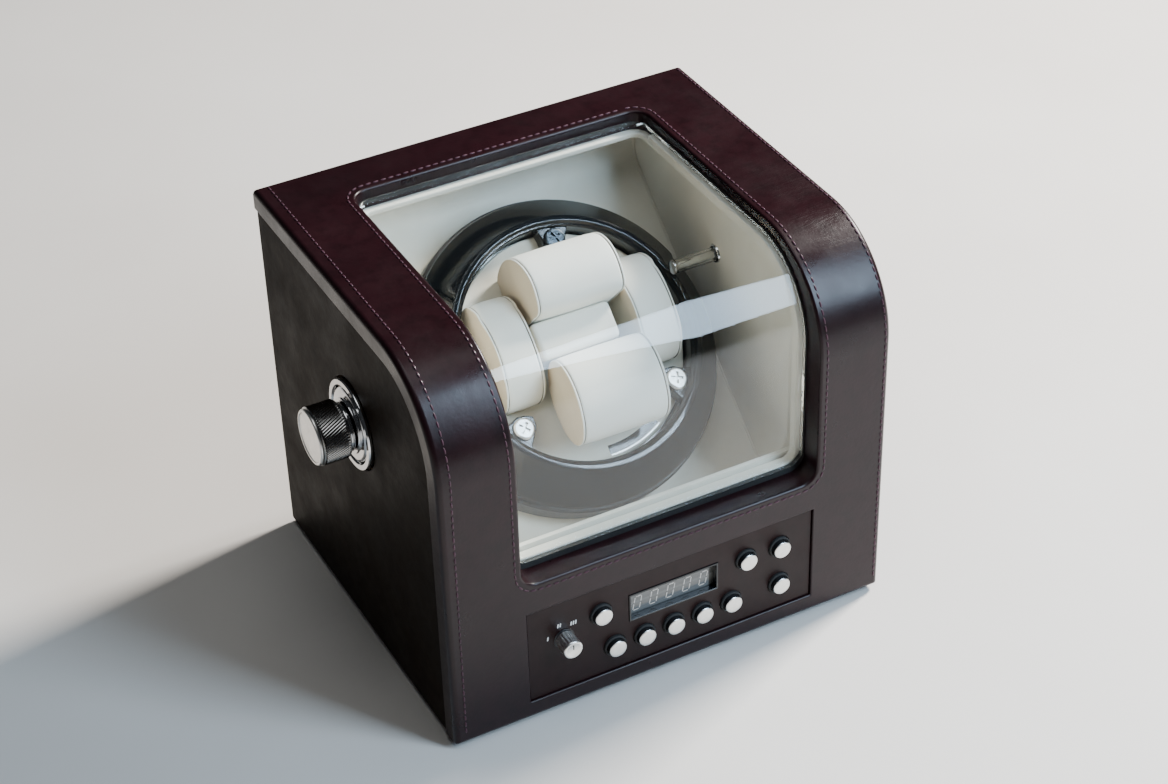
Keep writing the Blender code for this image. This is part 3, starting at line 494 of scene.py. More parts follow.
def prism_mesh(name, outline, low, high, axis='X'):
    """A closed 2D outline drawn out along X, or along Z with axis='Z'."""

    def build(sketch):
        if axis == 'X':
            start = [sketch.verts.new((low, a, b)) for a, b in outline]
            step = Vector((high - low, 0.0, 0.0))
        else:
            start = [sketch.verts.new((a, b, low)) for a, b in outline]
            step = Vector((0.0, 0.0, high - low))
        face = sketch.faces.new(start)
        drawn = bmesh.ops.extrude_face_region(sketch, geom=[face])
        moved = [item for item in drawn["geom"] if isinstance(item, bmesh.types.BMVert)]
        bmesh.ops.translate(sketch, vec=step, verts=moved)

    return mesh_from(name, build)


def round_corners(mesh, picks, radius, segments=8):
    """Round the edges of a mesh along X that a test of (y, z) picks."""
    sketch = bmesh.new()
    sketch.from_mesh(mesh)
    edges = [
        edge for edge in sketch.edges
        if abs(edge.verts[0].co.x - edge.verts[1].co.x) < 1e-6
        and all(picks(vert.co.y, vert.co.z) for vert in edge.verts)
    ]
    bmesh.ops.bevel(sketch, geom=edges, offset=radius, segments=segments, profile=0.5, affect='EDGES')
    bmesh.ops.recalc_face_normals(sketch, faces=sketch.faces)
    sketch.to_mesh(mesh)
    sketch.free()
    return mesh


def box_mesh(name, low, high):
    """A box between two corners."""

    def build(sketch):
        cube = bmesh.ops.create_cube(sketch, size=1.0)["verts"]
        size = Vector(high) - Vector(low)
        bmesh.ops.transform(sketch, matrix=Matrix.Diagonal((*size, 1.0)), verts=cube)
        bmesh.ops.translate(sketch, vec=(Vector(high) + Vector(low)) / 2.0, verts=cube)

    return mesh_from(name, build)


def drilled(radius, low, high, steps, place):
    """Settings of a Boolean that drills a piece of the case along the axis of a placement."""
    tool = turned_mesh("hole", [(0.0, high), (radius, high), (radius, low), (0.0, low)], steps)
    tool.transform(CASE.inverted() @ place)
    return cut(tool)


def add_turned(name, profile, fillet, steps, material, place, body, replaces=()):
    """A turned piece with its profile's corners rounded."""
    mesh = turned_mesh(name, filleted(profile, fillet), steps)
    return add_piece(name, mesh, material, place, body, replaces)


# ---------------------------------------------------------------- leather case
FINE = 48


def shell_outline(inset, rear, low):
    """Side view of the case, moved in by an inset."""
    points = [(rear, TOP - inset)]
    points += arc((BEND, TOP - BEND), BEND - inset, 90.0, 180.0, FINE)
    points += [(inset, low), (rear, low)]
    return points


def lid_arc(radius, start, end, steps=FINE):
    """An arc about the axis of the lid's bend."""
    return arc(LID_AXIS, radius, start, end, steps)


def window_outline(rear, sill):
    """Side view of a block that cuts through the top and the front, from a rear edge down to a sill."""
    outside, deep, back = 0.03, 0.06, 0.15
    return [
        (rear, TOP + outside), (rear, back), (deep, back), (deep, sill), (-outside, sill),
        (-outside, TOP + outside)]


def on_cover(vert):
    """True where a vertex lies on the outer surface of the cover."""
    y, z = vert.co.y, vert.co.z
    slack = 0.00006
    if y < BEND and z > TOP - BEND:
        return abs(math.hypot(y - BEND, z - TOP + BEND) - BEND) < slack
    return abs(z - TOP) < slack if y >= BEND else abs(y) < slack


def edge_roundness(edge):
    """Share of the widest rounding that an edge of the cover gets."""
    across = [abs(vert.co.x) for vert in edge.verts]
    high = [vert.co.z for vert in edge.verts]
    at_side = min(across) > HALF_WIDTH - 1e-4
    at_panel = min(high) > PLATE_LOW - 0.004 and max(high) < PLATE_HIGH + 0.0045 and max(across) < 0.09
    if len(edge.link_faces) != 2 or edge.calc_face_angle() <= math.radians(40.0):
        return 0.0
    if not all(on_cover(vert) for vert in edge.verts):
        return 0.25 if at_side else 0.0
    if at_side:
        return 0.62
    if at_panel:
        return 0.20
    return 0.32 if max(across) < WINDOW_HALF + 1e-3 else 0.35


def make_cover():
    """Leather over the top and front, with rounded sides, window and panel recess."""
    inner = lid_arc(SEAT_INNER, 180.0, 90.0, 24)
    outline = shell_outline(0.0, DEPTH, BASE)[:-1]
    outline += [(inner[0][0], BASE)] + inner + [(DEPTH, inner[-1][1])]
    mesh = prism_mesh("leather_cover", outline, -HALF_WIDTH, HALF_WIDTH)

    window = prism_mesh("window", window_outline(WINDOW_REAR, WINDOW_SILL), -WINDOW_HALF, WINDOW_HALF)
    round_corners(window, lambda y, z: y > WINDOW_REAR - TINY or z < WINDOW_SILL + TINY, WINDOW_CORNER)
    half, low, high = PLATE_HALF + PLATE_GAP, PLATE_LOW - PLATE_GAP, PLATE_HIGH + PLATE_GAP
    tools = [cut(window), cut(box_mesh("recess", (-half, -0.02, low), (half, 0.03, high)))]
    lip = shell_outline(LIP, DEPTH + 0.02, -0.02)
    for side in (-1, 1):
        ends = sorted((side * CORE, side * (HALF_WIDTH + 0.02)))
        tools.append(cut(prism_mesh("lip", lip, *ends)))
    mesh = baked(mesh, tools)

    weights = mesh.attributes.new("bevel_weight_edge", 'FLOAT', 'EDGE')
    sketch = bmesh.new()
    sketch.from_mesh(mesh)
    weights.data.foreach_set("value", [edge_roundness(edge) for edge in sketch.edges])
    sketch.free()
    mesh = baked(mesh, [('BEVEL', {"width": 0.0050, "segments": 6, "limit_method": 'WEIGHT'})])
    add_piece("leather_cover", mesh, LEATHER, CASE, "case", ["top_front_cover"], 30.0)
    make_seat()
    make_gasket()


def make_seat():
    """Suede frame under the rim of the lid."""
    rear, sill, half = WINDOW_REAR + 0.004, WINDOW_SILL - 0.004, WINDOW_HALF + 0.0006
    drop_y, drop_z = 0.166, 0.205
    section = [(rear, drop_z), (drop_y, drop_z), (drop_y, LID_AXIS[1] + SEAT_RADIUS)]
    section += lid_arc(SEAT_RADIUS, 90.0, 180.0)
    section += [(section[-1][0], sill), (LID_AXIS[0] - SEAT_INNER, sill)]
    section += lid_arc(SEAT_INNER, 180.0, 90.0) + [(rear, LID_AXIS[1] + SEAT_INNER)]
    mesh = prism_mesh("lid_seat", section, -half, half)
    hole = prism_mesh("hole", window_outline(SEAT_REAR, SEAT_SILL), -SEAT_HALF, SEAT_HALF)
    round_corners(hole, lambda y, z: y > SEAT_REAR - TINY or z < SEAT_SILL + TINY, 0.005)
    mesh = baked(mesh, [cut(hole), rounding(0.0008)])
    add_piece("lid_seat", mesh, SUEDE, CASE, "case")


def make_gasket():
    """Strip that fills the slot between the pane's edge and the cover, in black rubber that also paints the
    shade along the band between the pane and the leather rim.
    """
    tuck = 0.0008
    rear, sill, half = WINDOW_REAR + tuck, WINDOW_SILL - tuck, WINDOW_HALF + tuck
    outer = LID_RADIUS - 0.0010
    section = [(rear, LID_AXIS[1] + outer)] + lid_arc(outer, 90.0, 180.0)
    section.append((section[-1][0], sill))
    low = lid_arc(SEAT_RADIUS + 0.0001, 180.0, 90.0)
    section += [(low[0][0], sill)] + low + [(rear, low[-1][1])]
    mesh = prism_mesh("lid_gasket", section, -half, half)
    round_corners(mesh, lambda y, z: y > WINDOW_REAR or z < WINDOW_SILL, WINDOW_CORNER + tuck)
    slack = 0.0003
    rear, low_edge = LID_REAR + slack, LID_BOTTOM - slack
    hole = window_outline(rear, low_edge)
    tool = prism_mesh("hole", hole, -LID_HALF - slack, LID_HALF + slack)
    round_corners(tool, lambda y, z: z < low_edge + TINY, 0.0083)
    round_corners(tool, lambda y, z: y > rear - TINY, 0.0045)
    mesh = baked(mesh, [cut(tool), rounding(0.0003, 2)])
    # Its black doubles as painted shade along the slot beside the pane's edge.
    add_piece("lid_gasket", mesh, RUBBER, CASE, "case")


def make_sides():
    """Leather side panels, the left one with the recess of the side knob."""
    outline = shell_outline(LIP + 0.0005, DEPTH - 0.0004, BASE)
    for side, name in ((-1, "left_side_panel"), (1, "right_side_panel")):
        ends = sorted((side * (CORE + 0.0003), side * PANEL_OUT))
        mesh = prism_mesh(name, outline, *ends)
        steps = [rounding(0.0009, 3, 50.0)]
        if side < 0:
            steps.insert(0, drilled(0.0246, -0.01, 0.02, 96, KNOB))
        mesh = baked(mesh, steps)
        add_piece(f"{name}_leather", mesh, SIDE_LEATHER, CASE, "case", [name], 40.0)


def shell_point(x, run):
    """Place and outward normal on the cover, run metres from its rear top edge down to the front's foot."""
    flat = DEPTH - BEND
    bend = BEND * math.pi / 2.0
    if run < flat:
        return Vector((x, DEPTH - run, TOP)), Vector((0.0, 0.0, 1.0))
    if run < flat + bend:
        angle = math.pi / 2.0 + (run - flat) / BEND
        normal = Vector((0.0, math.cos(angle), math.sin(angle)))
        return Vector((x, BEND, TOP - BEND)) + normal * BEND, normal
    return Vector((x, 0.0, TOP - BEND - (run - flat - bend))), Vector((0.0, -1.0, 0.0))


def rounded_loop(half_x, run_low, run_high, radius, step):
    """Evenly spaced (x, run) points round a rounded rectangle, closed."""
    corners = []
    turns = ((1, run_low, 270.0), (1, run_high, 0.0), (-1, run_high, 90.0), (-1, run_low, 180.0))
    for x_sign, run, start in turns:
        centre = (x_sign * (half_x - radius), run + radius if run == run_low else run - radius)
        corners += arc(centre, radius, start, start + 90.0, 10)
    corners.append(corners[0])
    return even_points(corners, step)


def even_points(path, step):
    """Points at an even spacing along a path."""
    points = []
    carried = 0.0
    for start, end in zip(path, path[1:]):
        start, end = Vector(start), Vector(end)
        length = (end - start).length
        while carried <= length and length > 0.0:
            points.append(tuple(start.lerp(end, carried / length)))
            carried += step
        carried -= length
    return points


def make_stitches():
    """Rows of thread: two along the sides of the cover and one round the window."""
    pitch = 0.0042
    random.seed(11)
    front_foot = (DEPTH - BEND) + BEND * math.pi / 2.0 + (TOP - BEND - BASE)
    sill = (DEPTH - BEND) + BEND * math.pi / 2.0 + (TOP - BEND - WINDOW_SILL)
    rows = [
        even_points(
            [(-0.1172, 0.003), (-0.1172, 0.15), (-0.1185, 0.26), (-0.1190, front_foot - 0.003)], pitch),
        even_points([(0.1216, 0.003), (0.1216, front_foot - 0.003)], pitch),
        rounded_loop(WINDOW_HALF + 0.0038, DEPTH - WINDOW_REAR - 0.0038, sill + 0.0038, 0.012, pitch),
    ]

    def build(sketch):
        for row in rows:
            for (x, run), (next_x, next_run) in zip(row, row[1:]):
                if math.hypot(next_x - x, next_run - run) > pitch * 1.5:
                    continue
                place, normal = shell_point((x + next_x) / 2.0, (run + next_run) / 2.0)
                ahead = shell_point(next_x, next_run)[0] - shell_point(x, run)[0]
                ahead = (ahead - normal * ahead.dot(normal)).normalized()
                side = normal.cross(ahead)
                ahead = (ahead + side * (0.07 + random.uniform(-0.03, 0.03))).normalized()
                side = normal.cross(ahead)
                turn = Matrix((ahead, side, normal)).transposed().to_4x4()
                size = Matrix.Diagonal((0.00168, 0.00056, 0.00050 + random.uniform(-0.00005, 0.00005), 1.0))
                bmesh.ops.create_uvsphere(
                    sketch, u_segments=8, v_segments=6, radius=1.0,
                    matrix=Matrix.Translation(place + normal * 0.00004) @ turn @ size @ ALONG_X)

    add_piece("cover_stitches", mesh_from("cover_stitches", build), THREAD, CASE, "case")


# ---------------------------------------------------------------- lid and chamber
def make_lid():
    """Bent clear pane with rounded corners and polished edges."""
    inner_radius = LID_RADIUS - LID_THICK
    outline = [(LID_REAR, LID_AXIS[1] + LID_RADIUS)] + lid_arc(LID_RADIUS, 90.0, 180.0)
    outline.append((outline[-1][0], LID_BOTTOM))
    inner = lid_arc(inner_radius, 180.0, 90.0)
    outline += [(inner[0][0], LID_BOTTOM)] + inner + [(LID_REAR, LID_AXIS[1] + inner_radius)]
    mesh = prism_mesh("glass_lid_pane", outline, -LID_HALF, LID_HALF)
    round_corners(mesh, lambda y, z: y > LID_REAR - TINY or z < LID_BOTTOM + TINY, 0.008, 10)
    mesh = baked(mesh, [rounding(0.0007, 3, 50.0)])
    add_piece("glass_lid_pane", mesh, GLASS, CASE, "lid", ["glass_lid"], 30.0)


def along_deck(distance, height):
    """A point of the rotor's section: distance up its plane, height along its axis."""
    return (
        ROTOR_Y + distance * math.cos(TILT) - height * math.sin(TILT),
        ROTOR_Z + distance * math.sin(TILT) + height * math.cos(TILT),
    )


def liner_path(offset):
    """Lining from the top of the back, down the deck, over the floor and up the front."""
    tilt = math.degrees(TILT)
    deck, half = 0.018, 0.086
    upper = along_deck(half, 0.016 - deck)
    lower = along_deck(-half, 0.025 - deck)
    front = (0.0253 + 0.008, lower[1] - 0.025 + 0.008)
    points = [(upper[0] + 0.016 + offset, LID_AXIS[1] + SEAT_INNER - 0.001)]
    points += arc(upper, 0.016 + offset, 0.0, tilt - 90.0, 24)
    points += arc(lower, 0.025 + offset, tilt - 90.0, -90.0, 24)
    points += arc(front, 0.008 + offset, -90.0, -180.0, 16)
    points.append((points[-1][0], LINING_TOP))
    return points


def make_lining():
    """Suede lining sheet and its stitched corner welts against the side walls."""
    outline = liner_path(0.0) + liner_path(0.0025)[::-1]
    mesh = prism_mesh("chamber_lining", outline, -0.086, 0.086)
    mesh = baked(mesh, [drilled(0.0165, -0.05, 0.0, 64, ROTOR)])
    add_piece("chamber_lining", mesh, SUEDE, CASE, "case", ["interior_liner"], 40.0)
    for side in (-1, 1):
        welt = bpy.data.curves.new("lining_welt", 'CURVE')
        welt.dimensions = '3D'
        spline = welt.splines.new('POLY')
        path = liner_path(-0.0002)
        spline.points.add(len(path) - 1)
        for point, (y, z) in zip(spline.points, path):
            point.co = (side * 0.0857, y, z, 1.0)
        welt.bevel_depth = 0.0006
        welt.bevel_resolution = 3
        welt.use_fill_caps = True
        holder = linked("welt", welt)
        bpy.context.view_layer.update()
        welt_mesh = evaluated(holder)
        bpy.data.objects.remove(holder)
        name = "lining_welt_left" if side < 0 else "lining_welt_right"
        add_piece(name, welt_mesh, SUEDE, CASE, "case")


def make_lamp():
    """Clear tube and its bright core on the right wall."""
    place = CASE @ Matrix.Translation((0.0, *LAMP)) @ ALONG_X
    wall = 0.0888
    tube = [(0.0040, wall), (0.0040, 0.0619), (0.0032, 0.0619), (0.0032, wall)]
    add_turned(
        "lamp_clear_tube", tube, 0.0004, 48, TUBE_GLASS, place, "case", ["lamp_tube"])
    core = [
        (0.0, wall + 0.006), (0.0075, wall + 0.006), (0.0075, wall + 0.0003), (0.0024, wall + 0.0003),
        (0.0024, 0.0640), (0.0024, 0.0632), (0.0029, 0.0628), (0.0029, 0.0616), (0.0040, 0.0616),
        (0.0040, 0.0602), (0.0, 0.0600)]
    add_turned("lamp_bright_core", core, 0.0004, 48, CHROME, place, "case", ["lamp_core"])
    flange = [(0.0039, 0.0862), (0.0039, 0.0852), (0.0048, 0.0852), (0.0052, 0.0862)]
    add_turned("lamp_flange", flange, 0.0003, 48, CHROME, place, "case")


# ---------------------------------------------------------------- rotor
LUG_ANGLES = (80.0, 217.0, 322.0)
LUG_DISTANCE = 0.0554
DISC_TOP = 0.0085
RING_INNER = 0.0615
PAD_FLOOR = DISC_TOP + 0.0004


def make_rotor():
    """Fixed drum, glossy ring with its lugs, suede disc and screws."""
    drum = [
        (0.0785, -0.0040), (0.0785, -0.0176), (0.0838, -0.0176), (0.0838, -0.0040), (0.0826, -0.0030),
        (0.0795, -0.0030)]
    add_turned("rotor_drum", drum, 0.0006, 128, DRUM_BLACK, ROTOR, "case", ["rotor_base"])

    ring = filleted([
        (0.0640, -0.0024), (0.0808, -0.0024), (0.0820, -0.0016), (0.0820, 0.0010), (0.0668, 0.0203),
        (0.0640, 0.0205), (0.0632, 0.0190), (0.0620, 0.0188), (RING_INNER, 0.0180), (RING_INNER, 0.0028),
        (0.0640, 0.0028)], 0.0007, 4)
    mesh = turned_mesh("gloss_ring", ring, 144)
    add_piece("gloss_ring", mesh, BLACK_GLOSS, ROTOR, "rotor", ["rotor_ring"])
    nose = [
        (0.0630, -0.0090), (0.0590, -0.0078), (0.0560, -0.0066), (0.0520, -0.0060), (0.0494, -0.0036),
        (0.0466, 0.0006), (0.0492, 0.0042), (0.0522, 0.0062), (0.0565, 0.0068), (0.0600, 0.0082),
        (0.0630, 0.0094)]
    for number, angle in enumerate(LUG_ANGLES, start=1):
        tab = prism_mesh("lug", nose, DISC_TOP + 0.0002, 0.0172, 'Z')
        tab = baked(tab, [rounding(0.0007, 3)])
        tab.transform(Matrix.Rotation(math.radians(angle), 4, 'Z'))
        add_piece(f"screw_lug_{number}", tab, BLACK_GLOSS, ROTOR, "rotor")

    disc = [(0.0, DISC_TOP), (0.0608, DISC_TOP), (0.0612, 0.0050), (0.0612, 0.0028), (0.0, 0.0028)]
    add_turned("suede_disc", disc, 0.0012, 128, SUEDE, ROTOR, "rotor", ["rotor_disc"])

    slot = 0.00075
    for number, angle in enumerate(LUG_ANGLES, start=1):
        x = LUG_DISTANCE * math.cos(math.radians(angle))
        y = LUG_DISTANCE * math.sin(math.radians(angle))
        head = filleted([
            (0.0, 0.0194), (0.0048, 0.0193), (0.0056, 0.0187), (0.0056, 0.0175), (0.0014, 0.0175),
            (0.0014, 0.0010), (0.0, 0.0010)], 0.0003)
        screw = turned_mesh("screw", head, 48)
        cross = box_mesh("cross", (-0.0033, -slot, 0.0179), (0.0033, slot, 0.022))
        other = box_mesh("cross_2", (-slot, -0.0033, 0.0179), (slot, 0.0033, 0.022))
        screw = baked(screw, [cut(cross), cut(other)])
        screw.transform(Matrix.Rotation(math.radians(23.0 * number), 4, 'Z'))
        place = ROTOR @ Matrix.Translation((x, y, 0.0))
        # The top screw is dark steel as a painted dark reflection; the others are satin.
        metal = DARK_REFLECTION_STEEL if number == 1 else SATIN
        replaced = [f"ring_screw_{number}"]
        add_piece(f"cross_screw_{number}", screw, metal, place, "rotor", replaced, 30.0)


# Distance in from the end of a pad, and how far the surface lies inside the outline there.
PAD_RIM = (
    (0.0004, 0.0013), (0.0001, 0.0008), (0.0002, 0.0004), (0.0005, 0.0001), (0.0009, 0.0001),
    (0.0012, 0.0003), (0.0014, 0.0007), (0.0016, 0.0007), (0.0019, 0.0002), (0.0028, 0.0000),
    (0.0054, -0.0002), (0.0090, -0.0003))
PAD_SEAM = 0.0015
PAD_SUNK = 0.0022    # how deep the foot of a pad stands in the soft disc


def pad_outline(middle, half, lean=0.0, trim=-1.0, steps=96):
    """Even points of a leaning oval cut flat by the disc and by a least distance across, corners eased."""
    path = []
    for step in range(steps * 2):
        angle = math.pi * step / steps
        across, above = half[0] * math.cos(angle), half[1] * math.sin(angle)
        y = middle[0] + across * math.cos(lean) - above * math.sin(lean)
        z = middle[1] + across * math.sin(lean) + above * math.cos(lean)
        path.append((max(y, trim), max(z, DISC_TOP - PAD_SUNK)))
    path.append(path[0])
    length = sum((Vector(b) - Vector(a)).length for a, b in zip(path, path[1:]))
    points = [Vector(point) for point in even_points(path, length / steps)[:steps]]
    for _ in range(8):
        points = [
            (points[index - 1] + point * 2.0 + points[(index + 1) % steps]) / 4.0
            for index, point in enumerate(points)]
    return points


def offset_ring(points, inset):
    """The outline moved in by an inset along its own normals."""
    moved = []
    for index, point in enumerate(points):
        along = (points[(index + 1) % len(points)] - points[index - 1]).normalized()
        moved.append(point + Vector((-along.y, along.x)) * inset)
    return moved


def pad_mesh(name, half_x, outline):
    """A padded roll: crowned body, groove for the seam, rolled rim and end faces set in a little."""
    middle = sum(outline, Vector((0.0, 0.0))) / len(outline)
    half = [(half_x - distance, inset) for distance, inset in PAD_RIM if distance < half_x]
    stations = half + [(0.0, PAD_RIM[-1][1] - 0.0001)] + [(-x, inset) for x, inset in half[::-1]]
    end = half[0]

    def flat_end(sketch, side):
        """Rings that close an end, from its centre out to the rim."""
        rings = [[sketch.verts.new((side * (end[0] + 0.0003), *middle))]]
        for share in (0.3, 0.6, 0.85):
            ring = [middle.lerp(point, share) for point in offset_ring(outline, end[1])]
            x = side * (end[0] + 0.0003 * (1.0 - share ** 2))
            rings.append([sketch.verts.new((x, *point)) for point in ring])
        return rings

    def build(sketch):
        rings = flat_end(sketch, 1)
        for x, inset in stations:
            rings.append([sketch.verts.new((x, *point)) for point in offset_ring(outline, inset)])
        rings += flat_end(sketch, -1)[::-1]
        skinned(sketch, rings)

    return mesh_from(name, build)


def seam_mesh(name, half_x, outline):
    """Dark thread lying in the grooves near both ends of a pad."""
    ring_steps = 6
    thick = 0.00026

    def build(sketch):
        for side in (-1, 1):
            rings = []
            line = offset_ring(outline, 0.00050)
            for point, outer in zip(line, outline):
                place = Vector((side * (half_x - PAD_SEAM), *point))
                out = Vector((0.0, *(outer - point))).normalized()
                ring = []
                for step in range(ring_steps):
                    angle = 2.0 * math.pi * step / ring_steps
                    shift = out * math.cos(angle) + Vector((1.0, 0.0, 0.0)) * math.sin(angle)
                    ring.append(sketch.verts.new(place + shift * thick))
                rings.append(ring)
            skinned(sketch, rings + rings[:1])

    return mesh_from(name, build)


def puffed(mesh, pressure, cap):
    """The mesh after a short cloth simulation under inner pressure, no point moved further than a cap."""
    still = [vert.co.copy() for vert in mesh.vertices]
    holder = linked("pad", mesh)
    cloth = holder.modifiers.new("cloth", 'CLOTH')
    cloth.settings.quality = 6
    cloth.settings.mass = 0.15
    cloth.settings.tension_stiffness = 18.0
    cloth.settings.compression_stiffness = 12.0
    cloth.settings.shear_stiffness = 6.0
    cloth.settings.bending_stiffness = 0.6
    cloth.settings.use_pressure = True
    cloth.settings.uniform_pressure_force = pressure
    cloth.settings.effector_weights.gravity = 0.0
    cloth.collision_settings.use_collision = False
    cloth.point_cache.frame_start = 1
    cloth.point_cache.frame_end = 20
    scene = bpy.context.scene
    for number in range(1, 21):
        scene.frame_set(number)
    swollen = evaluated(holder)
    scene.frame_set(1)
    for vert, start in zip(swollen.vertices, still):
        move = vert.co - start
        if move.length > cap:
            vert.co = start + move.normalized() * cap
    swollen.name = mesh.name
    bpy.data.objects.remove(holder)
    return swollen


SIDE_OVAL = {"middle": (0.0057, 0.0150), "half": (0.0292, 0.0225)}
LEANING_OVAL = {"middle": (-0.0300, 0.0345), "half": (0.0225, 0.0170), "lean": math.radians(13.0)}
PADS = {
    "top": (-0.025, 0.025, {"middle": (0.0280, 0.0250), "half": (0.0215, 0.0265), "trim": 0.0147}),
    "bottom": (-0.025, 0.025, LEANING_OVAL),
    "left": (-0.0505, -0.0285, SIDE_OVAL),
    "right": (0.0275, 0.0505, SIDE_OVAL),
}


def make_disc_slot():
    """Dark arc-shaped slot in the front part of the disc and, behind it, a bright satin strip: a painted
    highlight that stands in for the shine on the ring's inner edge.
    """
    for name, inner, outer, high, material, slot in (
            ("disc_slot", 0.0535, 0.0582, 0.0002, BLACK_GLOSS, "black_gloss"),
            # Bright satin strip: painted highlight of the ring's inner edge.
            ("disc_edge_highlight", 0.0584, 0.0592, 0.0008, SATIN, "satin_steel")):
        section = arc((0.0, 0.0), outer, 268.0, 300.0, 16) + arc((0.0, 0.0), inner, 300.0, 268.0, 16)
        mesh = prism_mesh(name, section, DISC_TOP - 0.0005, DISC_TOP + high, 'Z')
        add_piece(name, baked(mesh, [rounding(0.00015, 2, 50.0)]), material, ROTOR, "rotor")


def make_cushions():
    """The four watch cushions, the foot of the bottom one and the block between them."""
    for name, (low, high, section) in PADS.items():
        body = f"cushion_{name}"
        half_x = (high - low) / 2.0
        outline = pad_outline(**section)
        place = ROTOR @ Matrix.Translation(((low + high) / 2.0, 0.0, 0.0))
        mesh = puffed(pad_mesh(f"padded_{body}", half_x, outline), 3.0, 0.0005)
        pad = add_piece(f"padded_{body}", mesh, CUSHION_SUEDE, place, body, [body], 60.0)
        # The end faces get the darker suede: painted shade on the sides that turn away from the light.
        pad.data.materials.append(SHADED_END_SUEDE)
        for face in pad.data.polygons:
            face.material_index = int(abs(face.center.x) > half_x - 0.0006 and abs(face.normal.x) > 0.8)
        seam = seam_mesh(f"{body}_seam", half_x, outline)
        add_piece(f"{body}_seam", seam, SEAM, place, body)

    foot = box_mesh("cushion_foot", (-0.0155, -0.0395, PAD_FLOOR), (0.0155, -0.0225, 0.0300))
    foot = baked(foot, [rounding(0.0008)])
    add_piece("cushion_foot", foot, BLACK_PLASTIC, ROTOR, "cushion_bottom")
    make_disc_slot()

    block = box_mesh("padded_hub", (-0.0270, -0.0062, PAD_FLOOR), (0.0175, 0.0138, 0.0350))
    block = baked(block, [rounding(0.0028, 5)])
    hub = add_piece("padded_hub", block, CUSHION_SUEDE, ROTOR, "rotor", ["hub_block"])


# ---------------------------------------------------------------- side knob
def make_side_knob():
    """Bezel ring, stepped disc and the knurled knob."""
    bezel = [
        (0.0236, 0.0050), (0.0240, 0.0042), (0.0240, 0.0003), (0.0202, 0.0003), (0.0202, 0.0036),
        (0.0210, 0.0050)]
    add_turned("knob_bezel_ring", bezel, 0.0006, 96, CHROME, KNOB, "case", ["knob_bezel"])
    disc = [
        (0.0145, 0.0064), (0.0145, 0.0054), (0.0184, 0.0050), (0.0196, 0.0042), (0.0197, 0.0003),
        (0.0036, 0.0003), (0.0036, 0.0064)]
    add_turned("knob_stepped_disc", disc, 0.0006, 96, CHROME, KNOB, "case", ["knob_escutcheon"])
    collar = [
        (0.0, 0.0190), (0.0122, 0.0190), (0.0122, 0.0100), (0.0130, 0.0088), (0.0130, 0.0070),
        (0.0030, 0.0070), (0.0030, -0.0190), (0.0, -0.0190)]
    add_turned("knob_neck", collar, 0.0005, 64, CHROME, KNOB, "side_knob", ["knob_shaft"])

    teeth = 66
    low, high = 0.0106, 0.0240

    def knurl(angle, radius, height):
        if radius < 0.0149 or not low < height < high:
            return radius
        fade = min(1.0, (height - low) / 0.0006, (high - height) / 0.0006)
        phase = angle * teeth + 26.0 * (height - low) / (high - low)
        return radius - 0.00034 * fade * (0.5 + 0.5 * math.cos(phase))

    grip = [(0.0, 0.0246), (0.0139, 0.0246), (0.0146, 0.0246), (0.0150, 0.0243)]
    rows = 26
    grip += [(0.0153, high - (high - low) * row / rows) for row in range(rows + 1)]
    grip += [(0.0150, 0.0100), (0.0146, 0.0096), (0.0124, 0.0096), (0.0124, 0.0180), (0.0, 0.0180)]
    mesh = turned_mesh("knurled_grip", grip, teeth * 6, knurl)
    add_piece("knurled_grip", mesh, GUNMETAL, KNOB, "side_knob", ["knob_grip"], 50.0)

    cap = [
        (0.0, 0.0258), (0.0128, 0.0258), (0.0132, 0.0263), (0.0141, 0.0263), (0.0147, 0.0257),
        (0.0147, 0.0248), (0.0, 0.0248)]
    add_turned("knob_end_cap", cap, 0.0004, 96, SATIN, KNOB, "side_knob", ["knob_cap"])


# ---------------------------------------------------------------- control panel
def display_box(name, margin, front, back):
    """A box round the display's middle that reaches past its window by a margin."""
    reach_x, reach_z = DISPLAY_HALF_X + margin, DISPLAY_HALF_Z + margin
    low = (DISPLAY_X - reach_x, front, DISPLAY_Z - reach_z)
    high = (DISPLAY_X + reach_x, back, DISPLAY_Z + reach_z)
    return box_mesh(name, low, high)


def make_panel():
    """Recessed plate, button sleeves, display and marks."""
    plate = box_mesh(
        "panel_plate", (-PLATE_HALF, PLATE_FRONT, PLATE_LOW), (PLATE_HALF, PLATE_FRONT + 0.0015, PLATE_HIGH))
    tools = [drilled(0.0064, -0.01, 0.01, 48, on_front(*place)) for place in BUTTONS]
    tools.append(drilled(0.0034, -0.01, 0.01, 48, on_front(*SELECTOR)))
    tools += [cut(display_box("window", 0.0012, -0.01, 0.01)), rounding(0.0005, 3)]
    plate = baked(plate, tools)
    add_piece("panel_plate", plate, PANEL_LEATHER, CASE, "case", ["control_plate"], 40.0)
    make_buttons()

    inner = cut(display_box("inner", 0.0, -0.01, 0.02))
    outer = baked(display_box("display_surround", 0.0010, 0.0010, 0.0048), [inner, rounding(0.00025, 2)])
    add_piece("display_surround", outer, BLACK_GLOSS, CASE, "case", ["display_bezel"])
    screen = baked(display_box("display_screen", 0.001, 0.0050, 0.0084), [rounding(0.0002, 2)])
    add_piece("display_screen", screen, DISPLAY, CASE, "case", ["display_panel"])
    make_digits()
    make_marks()


